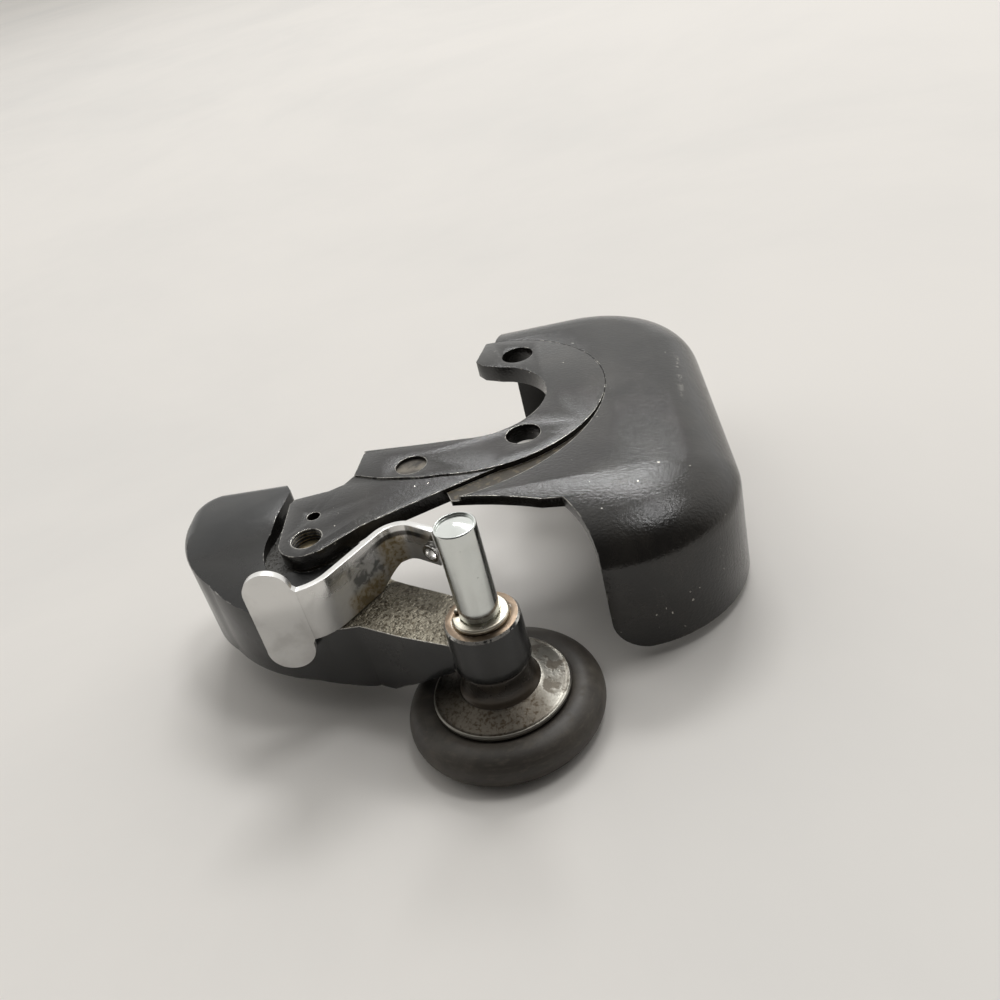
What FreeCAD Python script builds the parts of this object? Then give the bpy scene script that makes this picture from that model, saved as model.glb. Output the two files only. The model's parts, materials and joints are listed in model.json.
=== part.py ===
# Bobbin winder of a sewing machine, built on a belt guard.
# Origin: axis of the round cut-out in the mounting bracket, at the bracket's top face.
# +Z points up along the bobbin spindle, +Y runs from the winder to the back of the guard.
import FreeCAD, Part
import math
import os
import re
import Sketcher
from FreeCAD import Placement, Rotation, Vector

# Driving sizes in millimetres and degrees. Levels are heights above the bracket's top face.
SIZES = {
    # mounting bracket
    "ring_radius": 22.9,
    "cutout_radius": 12.3,
    "bracket_thick": 3.2,
    "ear_drop": 0.3,
    "ear_thick": 2.6,
    "screw_line_x": 7.5,
    "screw_mid_y": 0.55,
    "screw_land": 4.9,
    "screw_hole_radius": 3.0,
    "ear_left": -32.9,
    "ear_back": -20.4,
    "ear_neck_y": -9.7,
    "plug_x": -11.9,
    "plug_y": -17.2,
    "plug_radius": 2.7,
    "plug_depth": 1.2,
    "plug_sink": 0.6,
    "anchor_x": -27.9,
    "anchor_y": -26.6,
    "anchor_radius": 1.1,
    # belt guard shell
    "guard_right": 40.8,
    "guard_front": -46.2,
    "guard_back": 32.0,
    "guard_depth": 23.0,
    "guard_wall": 1.8,
    "guard_edge_round": 8.0,
    "guard_front_corner": 20.0,
    "guard_back_corner": 22.0,
    "guard_foot_round": 6.0,
    "guard_mouth_x": 16.6,
    "ring_gap": 0.1,
    "groove_depth": 0.9,
    "ledge_width": 2.6,
    "ledge_thick": 1.6,
    "rivet_radius": 0.9,
    # pivot of the winder frame
    "pivot_x": -28.3,
    "pivot_y": -32.6,
    "pivot_thread_radius": 2.5,
    "pivot_shank_radius": 2.9,
    "pivot_head_radius": 4.6,
    "pivot_head_thick": 2.0,
    "washer_thick": 0.8,
    "shaft_gap": 0.06,
    "part_gap": 0.3,
    # winder frame
    "hood_top": -0.5,
    "hood_front_drop": 5.0,
    "frame_bottom": -20.0,
    "frame_wall": 2.2,
    "arm_top": -7.5,
    "arm_plate": 2.4,
    "hood_left": -51.7,
    "hood_back": -12.9,
    "hood_edge_round": 2.4,
    "recess_radius": 7.6,
    "recess_floor": -3.5,
    "floor_thick": 2.2,
    "post_radius": 4.4,
    "post_bottom": -17.4,
    "screw_tip": -2.2,
    "thread_pitch": 0.62,
    "thread_height": 0.32,
    "boss_top": -4.5,
    "boss_bottom": -12.3,
    "boss_radius": 5.7,
    # spindle and friction wheel
    "spindle_x": -1.0,
    "spindle_y": -53.8,
    "spindle_radius": 3.0,
    "spindle_top": 12.1,
    "cup_rim": 0.15,
    "cup_radius": 2.4,
    "cup_depth": 0.75,
    "seat_gap": 0.02,
    "bush_radius": 4.3,
    "bush_length": 2.6,
    "clip_radius": 4.15,
    "clip_thick": 0.7,
    "clip_lift": 0.1,
    "clip_room": 0.4,
    "clip_groove_radius": 2.6,
    "hub_radius": 5.3,
    "hub_foot_radius": 6.1,
    "flange_top": -17.0,
    "flange_radius": 10.45,
    "flange_thick": 0.8,
    "flange_drop": 1.1,
    "wheel_core": 9.35,
    "nut_pocket": 5.1,
    "nut_thick": 2.1,
    "nut_flats": 8.0,
    "tyre_radius": 15.0,
    "tyre_bore": 9.4,
    "tyre_top": -18.8,
    "tyre_width": 6.2,
    # stop latch
    "latch_x": -22.6,
    "latch_y": -41.6,
    "latch_stud_radius": 1.6,
    "latch_hub_radius": 3.2,
    "latch_hub_top": -3.0,
    "latch_hub_thick": 1.9,
    "latch_washer_thick": 0.5,
    "latch_sheet": 1.1,
    "latch_start_x": -27.8,
    "latch_first_bend": 7.0,
    "latch_heading": 50.0,
    "latch_run": 10.2,
    "latch_second_bend": 4.2,
    "latch_tip_heading": -38.0,
    "latch_tip_run": 4.2,
    "latch_top": 2.1,
    "latch_bottom": -7.2,
    "finger_bottom": -4.4,
    "paddle_y": -48.6,
    "paddle_left": -34.6,
    "paddle_right": -27.4,
    "paddle_top": 6.1,
    "paddle_bottom": -12.0,
    "eyelet_radius": 1.55,
    "eyelet_bore": 1.0,
    "eyelet_length": 1.6,
    "eyelet_lip": 0.3,
}

doc = FreeCAD.newDocument("Winder")
sheet = doc.addObject("Spreadsheet::Sheet", "Sizes")
for row, (alias, number) in enumerate(SIZES.items(), start=1):
    sheet.set("A%d" % row, str(number))
    sheet.setAlias("A%d" % row, alias)
doc.recompute()

RIVET_RING = "ring_radius - 0.5*ledge_width"
RIVET_ANGLES = (-40, 5, 45)
# The shell's inner ledge runs from under the ear, at the front, to this angle at the back.
LEDGE_HALF_ANGLE = 102
LEDGE_FAR_ANGLE = 66
TREAD_BANDS = 7
parts = []
TERM = re.compile(r"([+-]?)\s*([A-Za-z_0-9.*]+)")


def number(text):
    """Value of a sum of products of sizes, such as 'tyre_top - 0.5*tyre_width'."""
    total = 0.0
    for sign, term in TERM.findall(text):
        value = 1.0
        for factor in term.split("*"):
            value *= SIZES[factor] if factor in SIZES else float(factor)
        total += -value if sign == "-" else value
    return total


def formula(text):
    return re.sub(r"[A-Za-z_]\w*", lambda word: "Sizes." + word.group(), text)


def scaled(text, factor):
    """The same sum with every term times a factor."""
    terms = []
    for sign, term in TERM.findall(text):
        minus = (sign == "-") != (factor < 0)
        terms.append("%s %.5f*%s" % ("-" if minus else "+", abs(factor), term))
    return " ".join(terms)


def on_ring(radius, angle):
    """Plan position at an angle in degrees on a ring about the origin."""
    turned_by = math.radians(angle)
    return scaled(radius, math.cos(turned_by)), scaled(radius, math.sin(turned_by))


def bind(thing, prop, text):
    thing.setExpression(prop, formula(text))


def new_body(label, x="0", y="0", z="0"):
    made = doc.addObject("PartDesign::Body", label)
    made.Label = label
    for axis, text in zip("xyz", (x, y, z)):
        if text != "0":
            bind(made, "Placement.Base." + axis, text)
    parts.append(made)
    return made


def new_sketch(made, role, offset="0"):
    drawn = made.newObject("Sketcher::SketchObject", made.Label + "_sketch")
    base = [item for item in made.Origin.OriginFeatures if item.Role == role][0]
    drawn.AttachmentSupport = [(base, "")]
    drawn.MapMode = "FlatFace"
    if offset != "0":
        bind(drawn, "AttachmentOffset.Base.z", offset)
    return drawn


def fix_point(drawn, curve, end, x, y):
    """Ties one point of a curve to its two coordinates."""
    for kind, text in (("DistanceX", x), ("DistanceY", y)):
        place = drawn.addConstraint(Sketcher.Constraint(kind, -1, 1, curve, end, number(text)))
        bind(drawn, "Constraints[%d]" % place, text)


def draw_outline(drawn, points):
    """Closed outline through (x, y) points; a third entry is a point on an arc that ends there."""
    spots = [Vector(number(point[0]), number(point[1]), 0) for point in points]
    ends = []
    for index, point in enumerate(points):
        start, stop = spots[index - 1], spots[index]
        if len(point) == 3:
            middle = Vector(number(point[2][0]), number(point[2][1]), 0)
            curve = drawn.addGeometry(Part.Arc(start, middle, stop), False)
        else:
            curve = drawn.addGeometry(Part.LineSegment(start, stop), False)
        flipped = drawn.getPoint(curve, 1).distanceToPoint(start) > 1e-6
        ends.append((curve, 2 if flipped else 1, 1 if flipped else 2))
    for index, point in enumerate(points):
        curve, _, stop_end = ends[index]
        following, start_end, _ = ends[(index + 1) % len(points)]
        drawn.addConstraint(Sketcher.Constraint("Coincident", curve, stop_end, following, start_end))
        fix_point(drawn, curve, stop_end, point[0], point[1])


def draw_circle(drawn, radius, x="0", y="0"):
    centre = Vector(number(x), number(y), 0)
    curve = drawn.addGeometry(Part.Circle(centre, Vector(0, 0, 1), number(radius)), False)
    place = drawn.addConstraint(Sketcher.Constraint("Radius", curve, number(radius)))
    bind(drawn, "Constraints[%d]" % place, radius)
    fix_point(drawn, curve, 3, x, y)


def pad(made, drawn, length, flipped=False, both=False):
    feature = made.newObject("PartDesign::Pad", made.Label + "_pad")
    feature.Profile = drawn
    feature.Midplane = both
    feature.Reversed = flipped
    bind(feature, "Length", length)
    made.Tip = feature
    return feature


def pocket(made, drawn, length=None, flipped=False, both=False):
    """Cuts away from the sketch's own side; checks that it took something off."""
    doc.recompute()
    before = made.Shape.Volume
    feature = made.newObject("PartDesign::Pocket", made.Label + "_pocket")
    feature.Profile = drawn
    feature.Midplane = both
    feature.Reversed = flipped
    if length is None:
        feature.Type = "ThroughAll"
    else:
        bind(feature, "Length", length)
    made.Tip = feature
    doc.recompute()
    if made.Shape.Volume > before - 0.01:
        raise RuntimeError("nothing was cut from " + made.Label)
    return feature


def turn(made, drawn, angle=360, cutting=False):
    kind = "Groove" if cutting else "Revolution"
    feature = made.newObject("PartDesign::" + kind, made.Label + "_turn")
    feature.Profile = drawn
    feature.ReferenceAxis = (drawn, ["V_Axis"])
    feature.Angle = angle
    feature.Midplane = angle < 360
    made.Tip = feature
    return feature


def ease(made, radius, wanted, flat=False):
    """Rounds, or bevels when flat, each edge whose midpoint the test accepts."""
    doc.recompute()
    names = []
    for index, edge in enumerate(made.Shape.Edges, start=1):
        middle = edge.valueAt(0.5 * (edge.FirstParameter + edge.LastParameter))
        if wanted(edge, middle):
            names.append("Edge%d" % index)
    if not names:
        raise RuntimeError("no edge to ease on " + made.Label)
    base = made.Tip
    kind, prop = ("Chamfer", "Size") if flat else ("Fillet", "Radius")
    feature = made.newObject("PartDesign::" + kind, made.Label + "_ease")
    feature.Base = (base, names)
    bind(feature, prop, radius)
    made.Tip = feature
    doc.recompute()
    if "Invalid" in feature.State:
        raise RuntimeError("could not ease %s: %s %s" % (made.Label, names, feature.getStatusString()))
    return feature


def turned(label, profile, x="spindle_x", y="spindle_y"):
    """Round piece about an upright axis, from its (radius, level) half profile."""
    made = new_body(label, x, y)
    drawn = new_sketch(made, "XZ_Plane")
    draw_outline(drawn, profile)
    turn(made, drawn)
    return made


def upright(edge):
    line = edge.Vertexes[-1].Point - edge.Vertexes[0].Point
    return math.hypot(line.x, line.y) < 1e-4 < abs(line.z)


def beside(x, y, reach=0.6):
    """Test for an upright edge near a plan position."""
    return lambda edge, middle: upright(edge) and math.hypot(middle.x - x, middle.y - y) < reach


def ear_front(gap=""):
    """Ear's front edge beside the shell, as the start and the arc of an outline."""
    return [
        ("-19.4", "-ring_radius - 9.0" + gap),
        ("3.4", "0.5 - ring_radius" + gap, ("-8.4", "-ring_radius - 4.3" + gap)),
    ]


def guard_bracket():
    made = new_body("guard_bracket")
    disc = new_sketch(made, "XY_Plane", "-bracket_thick")
    draw_circle(disc, "ring_radius")
    pad(made, disc, "bracket_thick")

    arm = new_sketch(made, "XY_Plane", "-bracket_thick")
    draw_outline(arm, [
        ("-0.2", "-cutout_radius"),
        ("-10.6", "ear_neck_y - 1.3"),
        ("-19.9", "ear_neck_y + 0.1"),
        ("-20.8", "ear_neck_y - 0.8"),
        ("-21.9", "-16.9"),
        ("-17.2", "3.5 - ring_radius"),
        ("-10.2", "1.4 - ring_radius"),
        ("-3.3", "0.5 - ring_radius"),
    ])
    pad(made, arm, "bracket_thick")

    mouth = new_sketch(made, "XY_Plane")
    draw_outline(mouth, [
        ("0", "0"),
        ("4.0", "11.63"),
        ("0.7", "13.7"),
        ("-0.6", "15.9"),
        ("1.6", "ring_radius + 0.5"),
        ("-ring_radius", "ring_radius + 0.5"),
        ("-ring_radius", "ear_neck_y + 0.1"),
        ("-19.9", "ear_neck_y + 0.1"),
        ("-10.6", "ear_neck_y - 1.3"),
        ("-0.2", "-cutout_radius"),
    ])
    pocket(made, mouth)
    cutout = new_sketch(made, "XY_Plane")
    draw_circle(cutout, "cutout_radius")
    pocket(made, cutout)

    ear = new_sketch(made, "XY_Plane", "-ear_drop - ear_thick")
    draw_outline(ear, [
        ("-21.9", "-16.4"),
        ("-23.6", "ear_back + 1.7"),
        ("-26.0", "ear_back + 0.6"),
        ("ear_left + 1.0", "ear_back"),
        ("ear_left + 0.2", "ear_back - 1.2"),
        ("ear_left", "pivot_y"),
        ("pivot_x", "pivot_y - pivot_x + ear_left",
         ("0.293*pivot_x + 0.707*ear_left", "pivot_y - 0.707*pivot_x + 0.707*ear_left")),
        ("-25.6", "pivot_y - 3.9"),
        *ear_front(),
        ("0", "-17.0"),
        ("-12.0", "-14.0"),
    ])
    pad(made, ear, "ear_thick")

    holes = new_sketch(made, "XY_Plane")
    draw_circle(holes, "screw_hole_radius", "screw_line_x", "screw_mid_y + cutout_radius + 0.5*screw_land")
    draw_circle(holes, "screw_hole_radius", "screw_line_x", "screw_mid_y - cutout_radius - 0.5*screw_land")
    draw_circle(holes, "anchor_radius", "anchor_x", "anchor_y")
    draw_circle(holes, "pivot_thread_radius", "pivot_x", "pivot_y")
    pocket(made, holes)
    blind = new_sketch(made, "XY_Plane")
    draw_circle(blind, "plug_radius", "plug_x", "plug_y")
    pocket(made, blind, "plug_sink + plug_depth")
    rivets = new_sketch(made, "XY_Plane", "-bracket_thick")
    for angle in RIVET_ANGLES:
        draw_circle(rivets, "rivet_radius + seat_gap", *on_ring(RIVET_RING, angle))
    pocket(made, rivets, "0.6*bracket_thick", flipped=True)

    thread = new_sketch(made, "XZ_Plane")
    bind(thread, "AttachmentOffset.Base.x", "pivot_x")
    bind(thread, "AttachmentOffset.Base.z", "-pivot_y")
    for turn_number in range(int(number("ear_thick") / number("thread_pitch"))):
        top = "-ear_drop - %.1f*thread_pitch" % (turn_number + 0.1)
        tip = "-ear_drop - %.1f*thread_pitch" % (turn_number + 0.5)
        foot = "-ear_drop - %.1f*thread_pitch" % (turn_number + 0.9)
        draw_outline(thread, [
            ("0.8*pivot_thread_radius", top),
            ("pivot_thread_radius", top),
            ("pivot_thread_radius + thread_height", tip),
            ("pivot_thread_radius", foot),
            ("0.8*pivot_thread_radius", foot),
        ])
    turn(made, thread, cutting=True)
    return made


def belt_shroud():
    made = new_body("belt_shroud")
    shell = new_sketch(made, "XY_Plane", "-guard_depth")
    draw_outline(shell, [
        ("-14.0", "guard_front"),
        ("guard_right", "guard_front"),
        ("guard_right", "guard_back"),
        ("-14.0", "guard_back"),
    ])
    pad(made, shell, "guard_depth")
    ease(made, "guard_front_corner", beside(number("guard_right"), number("guard_front")))
    ease(made, "guard_back_corner", beside(number("guard_right"), number("guard_back")))

    def outer_rim(edge, middle):
        return abs(middle.z) < 1e-3 and middle.x > -13.5

    ease(made, "guard_edge_round", outer_rim)
    base = made.Tip
    faces = []
    for index, face in enumerate(made.Shape.Faces, start=1):
        place = face.CenterOfMass
        if place.x < -13.9 or abs(place.z + number("guard_depth")) < 1e-3:
            faces.append("Face%d" % index)
    hollow = made.newObject("PartDesign::Thickness", "belt_shroud_hollow")
    hollow.Base = (base, faces)
    bind(hollow, "Value", "guard_wall")
    hollow.Reversed = True
    made.Tip = hollow
    doc.recompute()

    seat = new_sketch(made, "XY_Plane")
    draw_circle(seat, "ring_radius + ring_gap")
    pocket(made, seat)
    groove = new_sketch(made, "XY_Plane")
    draw_outline(groove, [
        ("0.985*ring_radius", "-4.6"),
        ("-5.6", "-29.6", ("15.2", "-19.6")),
        ("-8.0", "-24.0"),
        ("0", "-14.0"),
    ])
    pocket(made, groove, "groove_depth")

    ledge_low = "-bracket_thick - seat_gap - ledge_thick"
    ledge_high = "-bracket_thick - seat_gap"
    inner, outer = "ring_radius - ledge_width", "ring_radius + ledge_thick"
    middle = "ring_radius + ring_gap"
    ledge = new_sketch(made, "XZ_Plane")
    draw_outline(ledge, [
        (inner, ledge_low),
        (outer, ledge_low),
        (outer, "-0.5*groove_depth - 0.5*guard_wall"),
        (middle, "-0.5*groove_depth - 0.5*guard_wall"),
        (middle, ledge_high),
        (inner, ledge_high),
    ])
    turn(made, ledge, 2 * LEDGE_HALF_ANGLE)
    beyond = new_sketch(made, "XY_Plane", ledge_low + " - 1.0")
    draw_outline(beyond, [
        ("-30.0", "0"),
        ("0", "0"),
        on_ring("2.0*ring_radius", LEDGE_FAR_ANGLE),
        ("-30.0", "30.0"),
    ])
    pocket(made, beyond, "bracket_thick + seat_gap + ledge_thick + 1.0 - guard_wall", flipped=True)
    mouth = new_sketch(made, "XY_Plane")
    draw_outline(mouth, [
        ("-15.0", "guard_back + 1.0"),
        ("5.4", "guard_back + 1.0"),
        ("5.1", "28.6"),
        ("3.4", "ring_radius + 0.5"),
        ("0", "0"),
        ("-7.0", "-22.0"),
        ("-4.9", "-29.1"),
        ("9.3", "-33.9", ("2.6", "-31.2")),
        ("12.8", "-34.5"),
        ("guard_mouth_x", "guard_front + 1.2", ("guard_mouth_x - 1.4", "-39.5")),
        ("guard_mouth_x", "guard_front - 1.0"),
        ("-15.0", "guard_front - 1.0"),
    ])
    pocket(made, mouth)
    ear_room = new_sketch(made, "XY_Plane")
    draw_outline(ear_room, [
        *ear_front(" - part_gap"),
        ("3.4", "-18.0"),
        ("-19.4", "-18.0"),
    ])
    pocket(made, ear_room, "bracket_thick + 0.5*seat_gap")
    rivets = new_sketch(made, "XY_Plane", ledge_low)
    for angle in RIVET_ANGLES:
        draw_circle(rivets, "rivet_radius + seat_gap", *on_ring(RIVET_RING, angle))
    pocket(made, rivets, "2*ledge_thick", flipped=True)

    foot = new_sketch(made, "XZ_Plane", "1.0 - guard_front")
    draw_outline(foot, [
        ("guard_mouth_x - 3.0", "-guard_depth - 1.0"),
        ("guard_mouth_x - 3.0", "-guard_depth + guard_foot_round"),
        ("guard_mouth_x", "-guard_depth + guard_foot_round"),
        ("guard_mouth_x + guard_foot_round", "-guard_depth",
         ("guard_mouth_x + 0.293*guard_foot_round", "-guard_depth + 0.293*guard_foot_round")),
        ("guard_mouth_x + guard_foot_round", "-guard_depth - 1.0"),
    ])
    pocket(made, foot, "guard_wall + 6.0")
    return made


def shroud_rivets():
    made = new_body("shroud_rivets")
    ledge_low = "-bracket_thick - seat_gap - ledge_thick"
    heads = new_sketch(made, "XY_Plane", ledge_low + " - 0.7*rivet_radius")
    shanks = new_sketch(made, "XY_Plane", ledge_low)
    for angle in RIVET_ANGLES:
        draw_circle(heads, "1.8*rivet_radius", *on_ring(RIVET_RING, angle))
        draw_circle(shanks, "rivet_radius", *on_ring(RIVET_RING, angle))
    made.AllowCompound = True
    pad(made, heads, "0.7*rivet_radius")
    pad(made, shanks, "ledge_thick + seat_gap + 0.5*bracket_thick")
    return made


def winder_frame():
    made = new_body("winder_frame")
    lower = new_sketch(made, "XY_Plane", "frame_bottom")
    draw_outline(lower, [
        ("-33.4", "-16.8"),
        ("-35.0", "hood_back - 0.4"),
        ("-46.4", "hood_back + 0.4"),
        ("hood_left + 0.2", "-18.2", ("hood_left + 1.6", "-14.5")),
        ("hood_left", "-21.6"),
        ("-45.3", "-35.6", ("-50.0", "-29.0")),
        ("-31.7", "-45.4", ("-39.2", "-41.6")),
        ("-20.4", "-47.6", ("-26.0", "-47.0")),
        ("spindle_x - 12.9", "spindle_y + 2.2"),
        ("spindle_x - 3.5", "spindle_y - 2.7"),
        ("spindle_x", "spindle_y"),
        ("spindle_x - 0.5", "spindle_y + 5.4"),
        ("spindle_x - 5.6", "spindle_y + 9.8"),
        ("spindle_x - 12.1", "spindle_y + 14.0"),
        ("spindle_x - 14.5", "spindle_y + 15.7"),
        ("pivot_x + 8.1", "pivot_y"),
        ("pivot_x", "pivot_y + 8.2", ("pivot_x + 6.2", "pivot_y + 5.5")),
        ("-31.4", "-22.0"),
    ])
    pad(made, lower, "arm_top - frame_bottom")
    upper = new_sketch(made, "XY_Plane", "arm_top")
    draw_outline(upper, [
        ("-33.4", "-16.8"),
        ("-35.0", "hood_back - 0.4"),
        ("-46.4", "hood_back + 0.4"),
        ("hood_left + 0.2", "-18.2", ("hood_left + 1.6", "-14.5")),
        ("hood_left", "-21.6"),
        ("-45.3", "-35.6", ("-50.0", "-29.0")),
        ("-31.7", "-45.4", ("-39.2", "-41.6")),
        ("-26.6", "-46.9"),
        ("-25.6", "-43.4"),
        ("pivot_x + 5.4", "pivot_y - 5.4"),
        ("pivot_x + 7.6", "pivot_y"),
        ("pivot_x", "pivot_y + 7.8", ("pivot_x + 5.8", "pivot_y + 5.2")),
        ("-31.4", "-22.0"),
    ])
    pad(made, upper, "hood_top - arm_top")

    def hood_rim(edge, middle):
        outside = middle.x < -34.0 and not (middle.x > -35.5 and middle.y > -20.0)
        return outside and abs(middle.z - number("hood_top")) < 1e-3

    ease(made, "hood_edge_round", hood_rim)

    slope = new_sketch(made, "YZ_Plane", "hood_left - 1.0")
    draw_outline(slope, [
        ("-24.0", "hood_top + 0.1"),
        ("-50.0", "hood_top - 1.3*hood_front_drop"),
        ("-50.0", "hood_top + 2.0"),
        ("-24.0", "hood_top + 2.0"),
    ])
    pocket(made, slope, "60.0", flipped=True)

    recess = new_sketch(made, "XY_Plane")
    draw_outline(recess, [
        ("-33.4", "-10.0"),
        ("-33.4", "-17.5"),
        ("pivot_x - recess_radius + 0.5", "pivot_y + 5.0"),
        ("pivot_x", "pivot_y - recess_radius",
         ("pivot_x - 0.94*recess_radius", "pivot_y - 0.34*recess_radius")),
        ("pivot_x + 9.0", "pivot_y - recess_radius"),
        ("pivot_x + 9.0", "-10.0"),
    ])
    pocket(made, recess, "-recess_floor")

    hollow = new_sketch(made, "XY_Plane", "frame_bottom")
    draw_outline(hollow, [
        ("-37.6", "hood_back - frame_wall"),
        ("-47.6", "hood_back + 0.9 - frame_wall"),
        ("hood_left + frame_wall", "-16.4"),
        ("hood_left + frame_wall", "-21.6"),
        ("-43.6", "-34.2", ("-48.2", "-28.2")),
        ("-31.0", "-43.2", ("-38.0", "-39.7")),
        ("-24.6", "-44.6"),
        ("pivot_x + 6.0", "pivot_y - 3.0"),
        ("pivot_x", "pivot_y + 6.1", ("pivot_x + 4.8", "pivot_y + 3.8")),
        ("-33.4", "-22.4"),
    ])
    pocket(made, hollow, "recess_floor - floor_thick - frame_bottom", flipped=True)
    arm_hollow = new_sketch(made, "XY_Plane", "frame_bottom")
    draw_outline(arm_hollow, [
        ("-24.8", "-44.6"),
        ("-19.9", "-45.2"),
        ("spindle_x - 12.3", "spindle_y + 4.6"),
        ("spindle_x - 8.2", "spindle_y + 2.5"),
        ("spindle_x - 7.0", "spindle_y + 5.6"),
        ("spindle_x - 9.0", "spindle_y + 9.0"),
        ("spindle_x - 13.2", "spindle_y + 12.2"),
        ("pivot_x + 6.0", "pivot_y - 3.0"),
    ])
    pocket(made, arm_hollow, "arm_top - arm_plate - frame_bottom", flipped=True)

    taper = new_sketch(made, "XZ_Plane")
    draw_outline(taper, [
        ("hood_left - 1.0", "frame_bottom + 2.4"),
        ("-30.0", "frame_bottom + 1.8"),
        ("-21.0", "frame_bottom"),
        ("-18.0", "frame_bottom + 0.2"),
        ("spindle_x - 10.8", "boss_bottom - 3.6"),
        ("spindle_x - 5.6", "boss_bottom - 0.4"),
        ("spindle_x + 9.0", "boss_bottom - 0.4"),
        ("spindle_x + 9.0", "frame_bottom - 1.0"),
        ("hood_left - 1.0", "frame_bottom - 1.0"),
    ])
    pocket(made, taper, "200.0", both=True)

    latch_room = new_sketch(made, "XY_Plane", "latch_hub_top - latch_hub_thick - part_gap")
    draw_circle(latch_room, "latch_hub_radius + 1.5*part_gap", "latch_x", "latch_y")
    pocket(made, latch_room, "20.0", flipped=True)

    post = new_sketch(made, "XY_Plane", "post_bottom")
    draw_circle(post, "post_radius", "pivot_x", "pivot_y")
    pad(made, post, "recess_floor - post_bottom")
    stud_boss = new_sketch(made, "XY_Plane", "arm_top - 6.0")
    draw_circle(stud_boss, "2.0*latch_stud_radius", "latch_x", "latch_y")
    pad(made, stud_boss, "6.0")
    boss = new_sketch(made, "XZ_Plane")
    bind(boss, "AttachmentOffset.Base.x", "spindle_x")
    bind(boss, "AttachmentOffset.Base.z", "-spindle_y")
    draw_outline(boss, [
        ("0", "boss_bottom"),
        ("boss_radius", "boss_bottom"),
        ("0.98*boss_radius", "boss_top - 0.4"),
        ("0.93*boss_radius", "boss_top"),
        ("0", "boss_top"),
    ])
    turn(made, boss)

    under = new_sketch(made, "XY_Plane", "frame_bottom - 1.0")
    draw_circle(under, "hub_radius + 2.0*part_gap", "spindle_x", "spindle_y")
    pocket(made, under, "boss_bottom - frame_bottom + 1.0", flipped=True)
    bores = new_sketch(made, "XY_Plane")
    draw_circle(bores, "pivot_shank_radius + shaft_gap", "pivot_x", "pivot_y")
    draw_circle(bores, "latch_stud_radius + seat_gap", "latch_x", "latch_y")
    draw_circle(bores, "spindle_radius + part_gap", "spindle_x", "spindle_y")
    pocket(made, bores)
    for level, flipped in (("boss_top", False), ("boss_bottom", True)):
        bush_seat = new_sketch(made, "XY_Plane", level)
        draw_circle(bush_seat, "bush_radius + seat_gap", "spindle_x", "spindle_y")
        pocket(made, bush_seat, "bush_length", flipped=flipped)
    return made


def bush(label, low):
    outer, inner = "bush_radius", "spindle_radius + shaft_gap"
    high = low + " + bush_length"
    return turned(label, [(inner, low), (outer, low), (outer, high), (inner, high)])


def pivot_screw():
    head_top = "post_bottom - washer_thick"
    head_low = "post_bottom - washer_thick - pivot_head_thick"
    ear_low = "-ear_drop - ear_thick"
    made = turned("pivot_screw", [
        ("0", head_low),
        ("pivot_head_radius - 0.5", head_low),
        ("pivot_head_radius", head_low + " + 0.5"),
        ("pivot_head_radius", head_top),
        ("pivot_shank_radius", head_top),
        ("pivot_shank_radius", ear_low),
        ("pivot_thread_radius - seat_gap", ear_low),
        ("pivot_thread_radius - seat_gap", "screw_tip - 0.3"),
        ("pivot_thread_radius - 0.4", "screw_tip"),
        ("0", "screw_tip"),
    ], "pivot_x", "pivot_y")
    slot = new_sketch(made, "XY_Plane", head_low)
    draw_outline(slot, [
        ("-pivot_head_radius - 1.0", "-0.5"),
        ("pivot_head_radius + 1.0", "-0.5"),
        ("pivot_head_radius + 1.0", "0.5"),
        ("-pivot_head_radius - 1.0", "0.5"),
    ])
    pocket(made, slot, "0.45*pivot_head_thick", flipped=True)
    return made


def pivot_washer():
    low, high = "post_bottom - washer_thick + seat_gap", "post_bottom - seat_gap"
    inner, outer = "pivot_shank_radius + shaft_gap", "pivot_head_radius + 0.6"
    return turned("pivot_washer", [(inner, low), (outer, low), (outer, high), (inner, high)],
                  "pivot_x", "pivot_y")


def blind_plug():
    low, high = "-plug_sink - plug_depth + seat_gap", "-plug_sink"
    outer = "plug_radius - seat_gap"
    return turned("blind_plug", [("0", low), (outer, low), (outer, high), ("0", high)], "plug_x", "plug_y")


def bobbin_spindle():
    low, clip_low = "tyre_top - tyre_width + 0.5", "boss_top + clip_lift"
    return turned("bobbin_spindle", [
        ("0", low),
        ("spindle_radius", low),
        ("spindle_radius", clip_low),
        ("clip_groove_radius", clip_low),
        ("clip_groove_radius", clip_low + " + clip_thick + clip_room"),
        ("spindle_radius", clip_low + " + clip_thick + clip_room"),
        ("spindle_radius", "spindle_top - cup_rim"),
        ("spindle_radius - cup_rim", "spindle_top"),
        ("spindle_radius - 1.6*cup_rim", "spindle_top"),
        ("cup_radius", "spindle_top - cup_depth"),
        ("0", "spindle_top - 1.7*cup_depth"),
    ])


def retaining_clip():
    """Open spring ring in the spindle's foot, resting above the bush."""
    inner, low = "clip_groove_radius + seat_gap", "boss_top + clip_lift"
    made = turned("retaining_clip", [
        (inner, low),
        ("clip_radius", low),
        ("clip_radius", low + " + 0.7*clip_thick"),
        ("clip_radius - 0.3*clip_thick", low + " + clip_thick"),
        (inner, low + " + clip_thick"),
    ])
    gap = new_sketch(made, "XY_Plane", low + " + 2.0*clip_thick")
    draw_outline(gap, [
        ("0", "0"),
        ("-1.5*clip_radius", "-0.1*clip_radius"),
        ("-1.5*clip_radius", "0.5*clip_radius"),
    ])
    pocket(made, gap)
    return made


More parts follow.
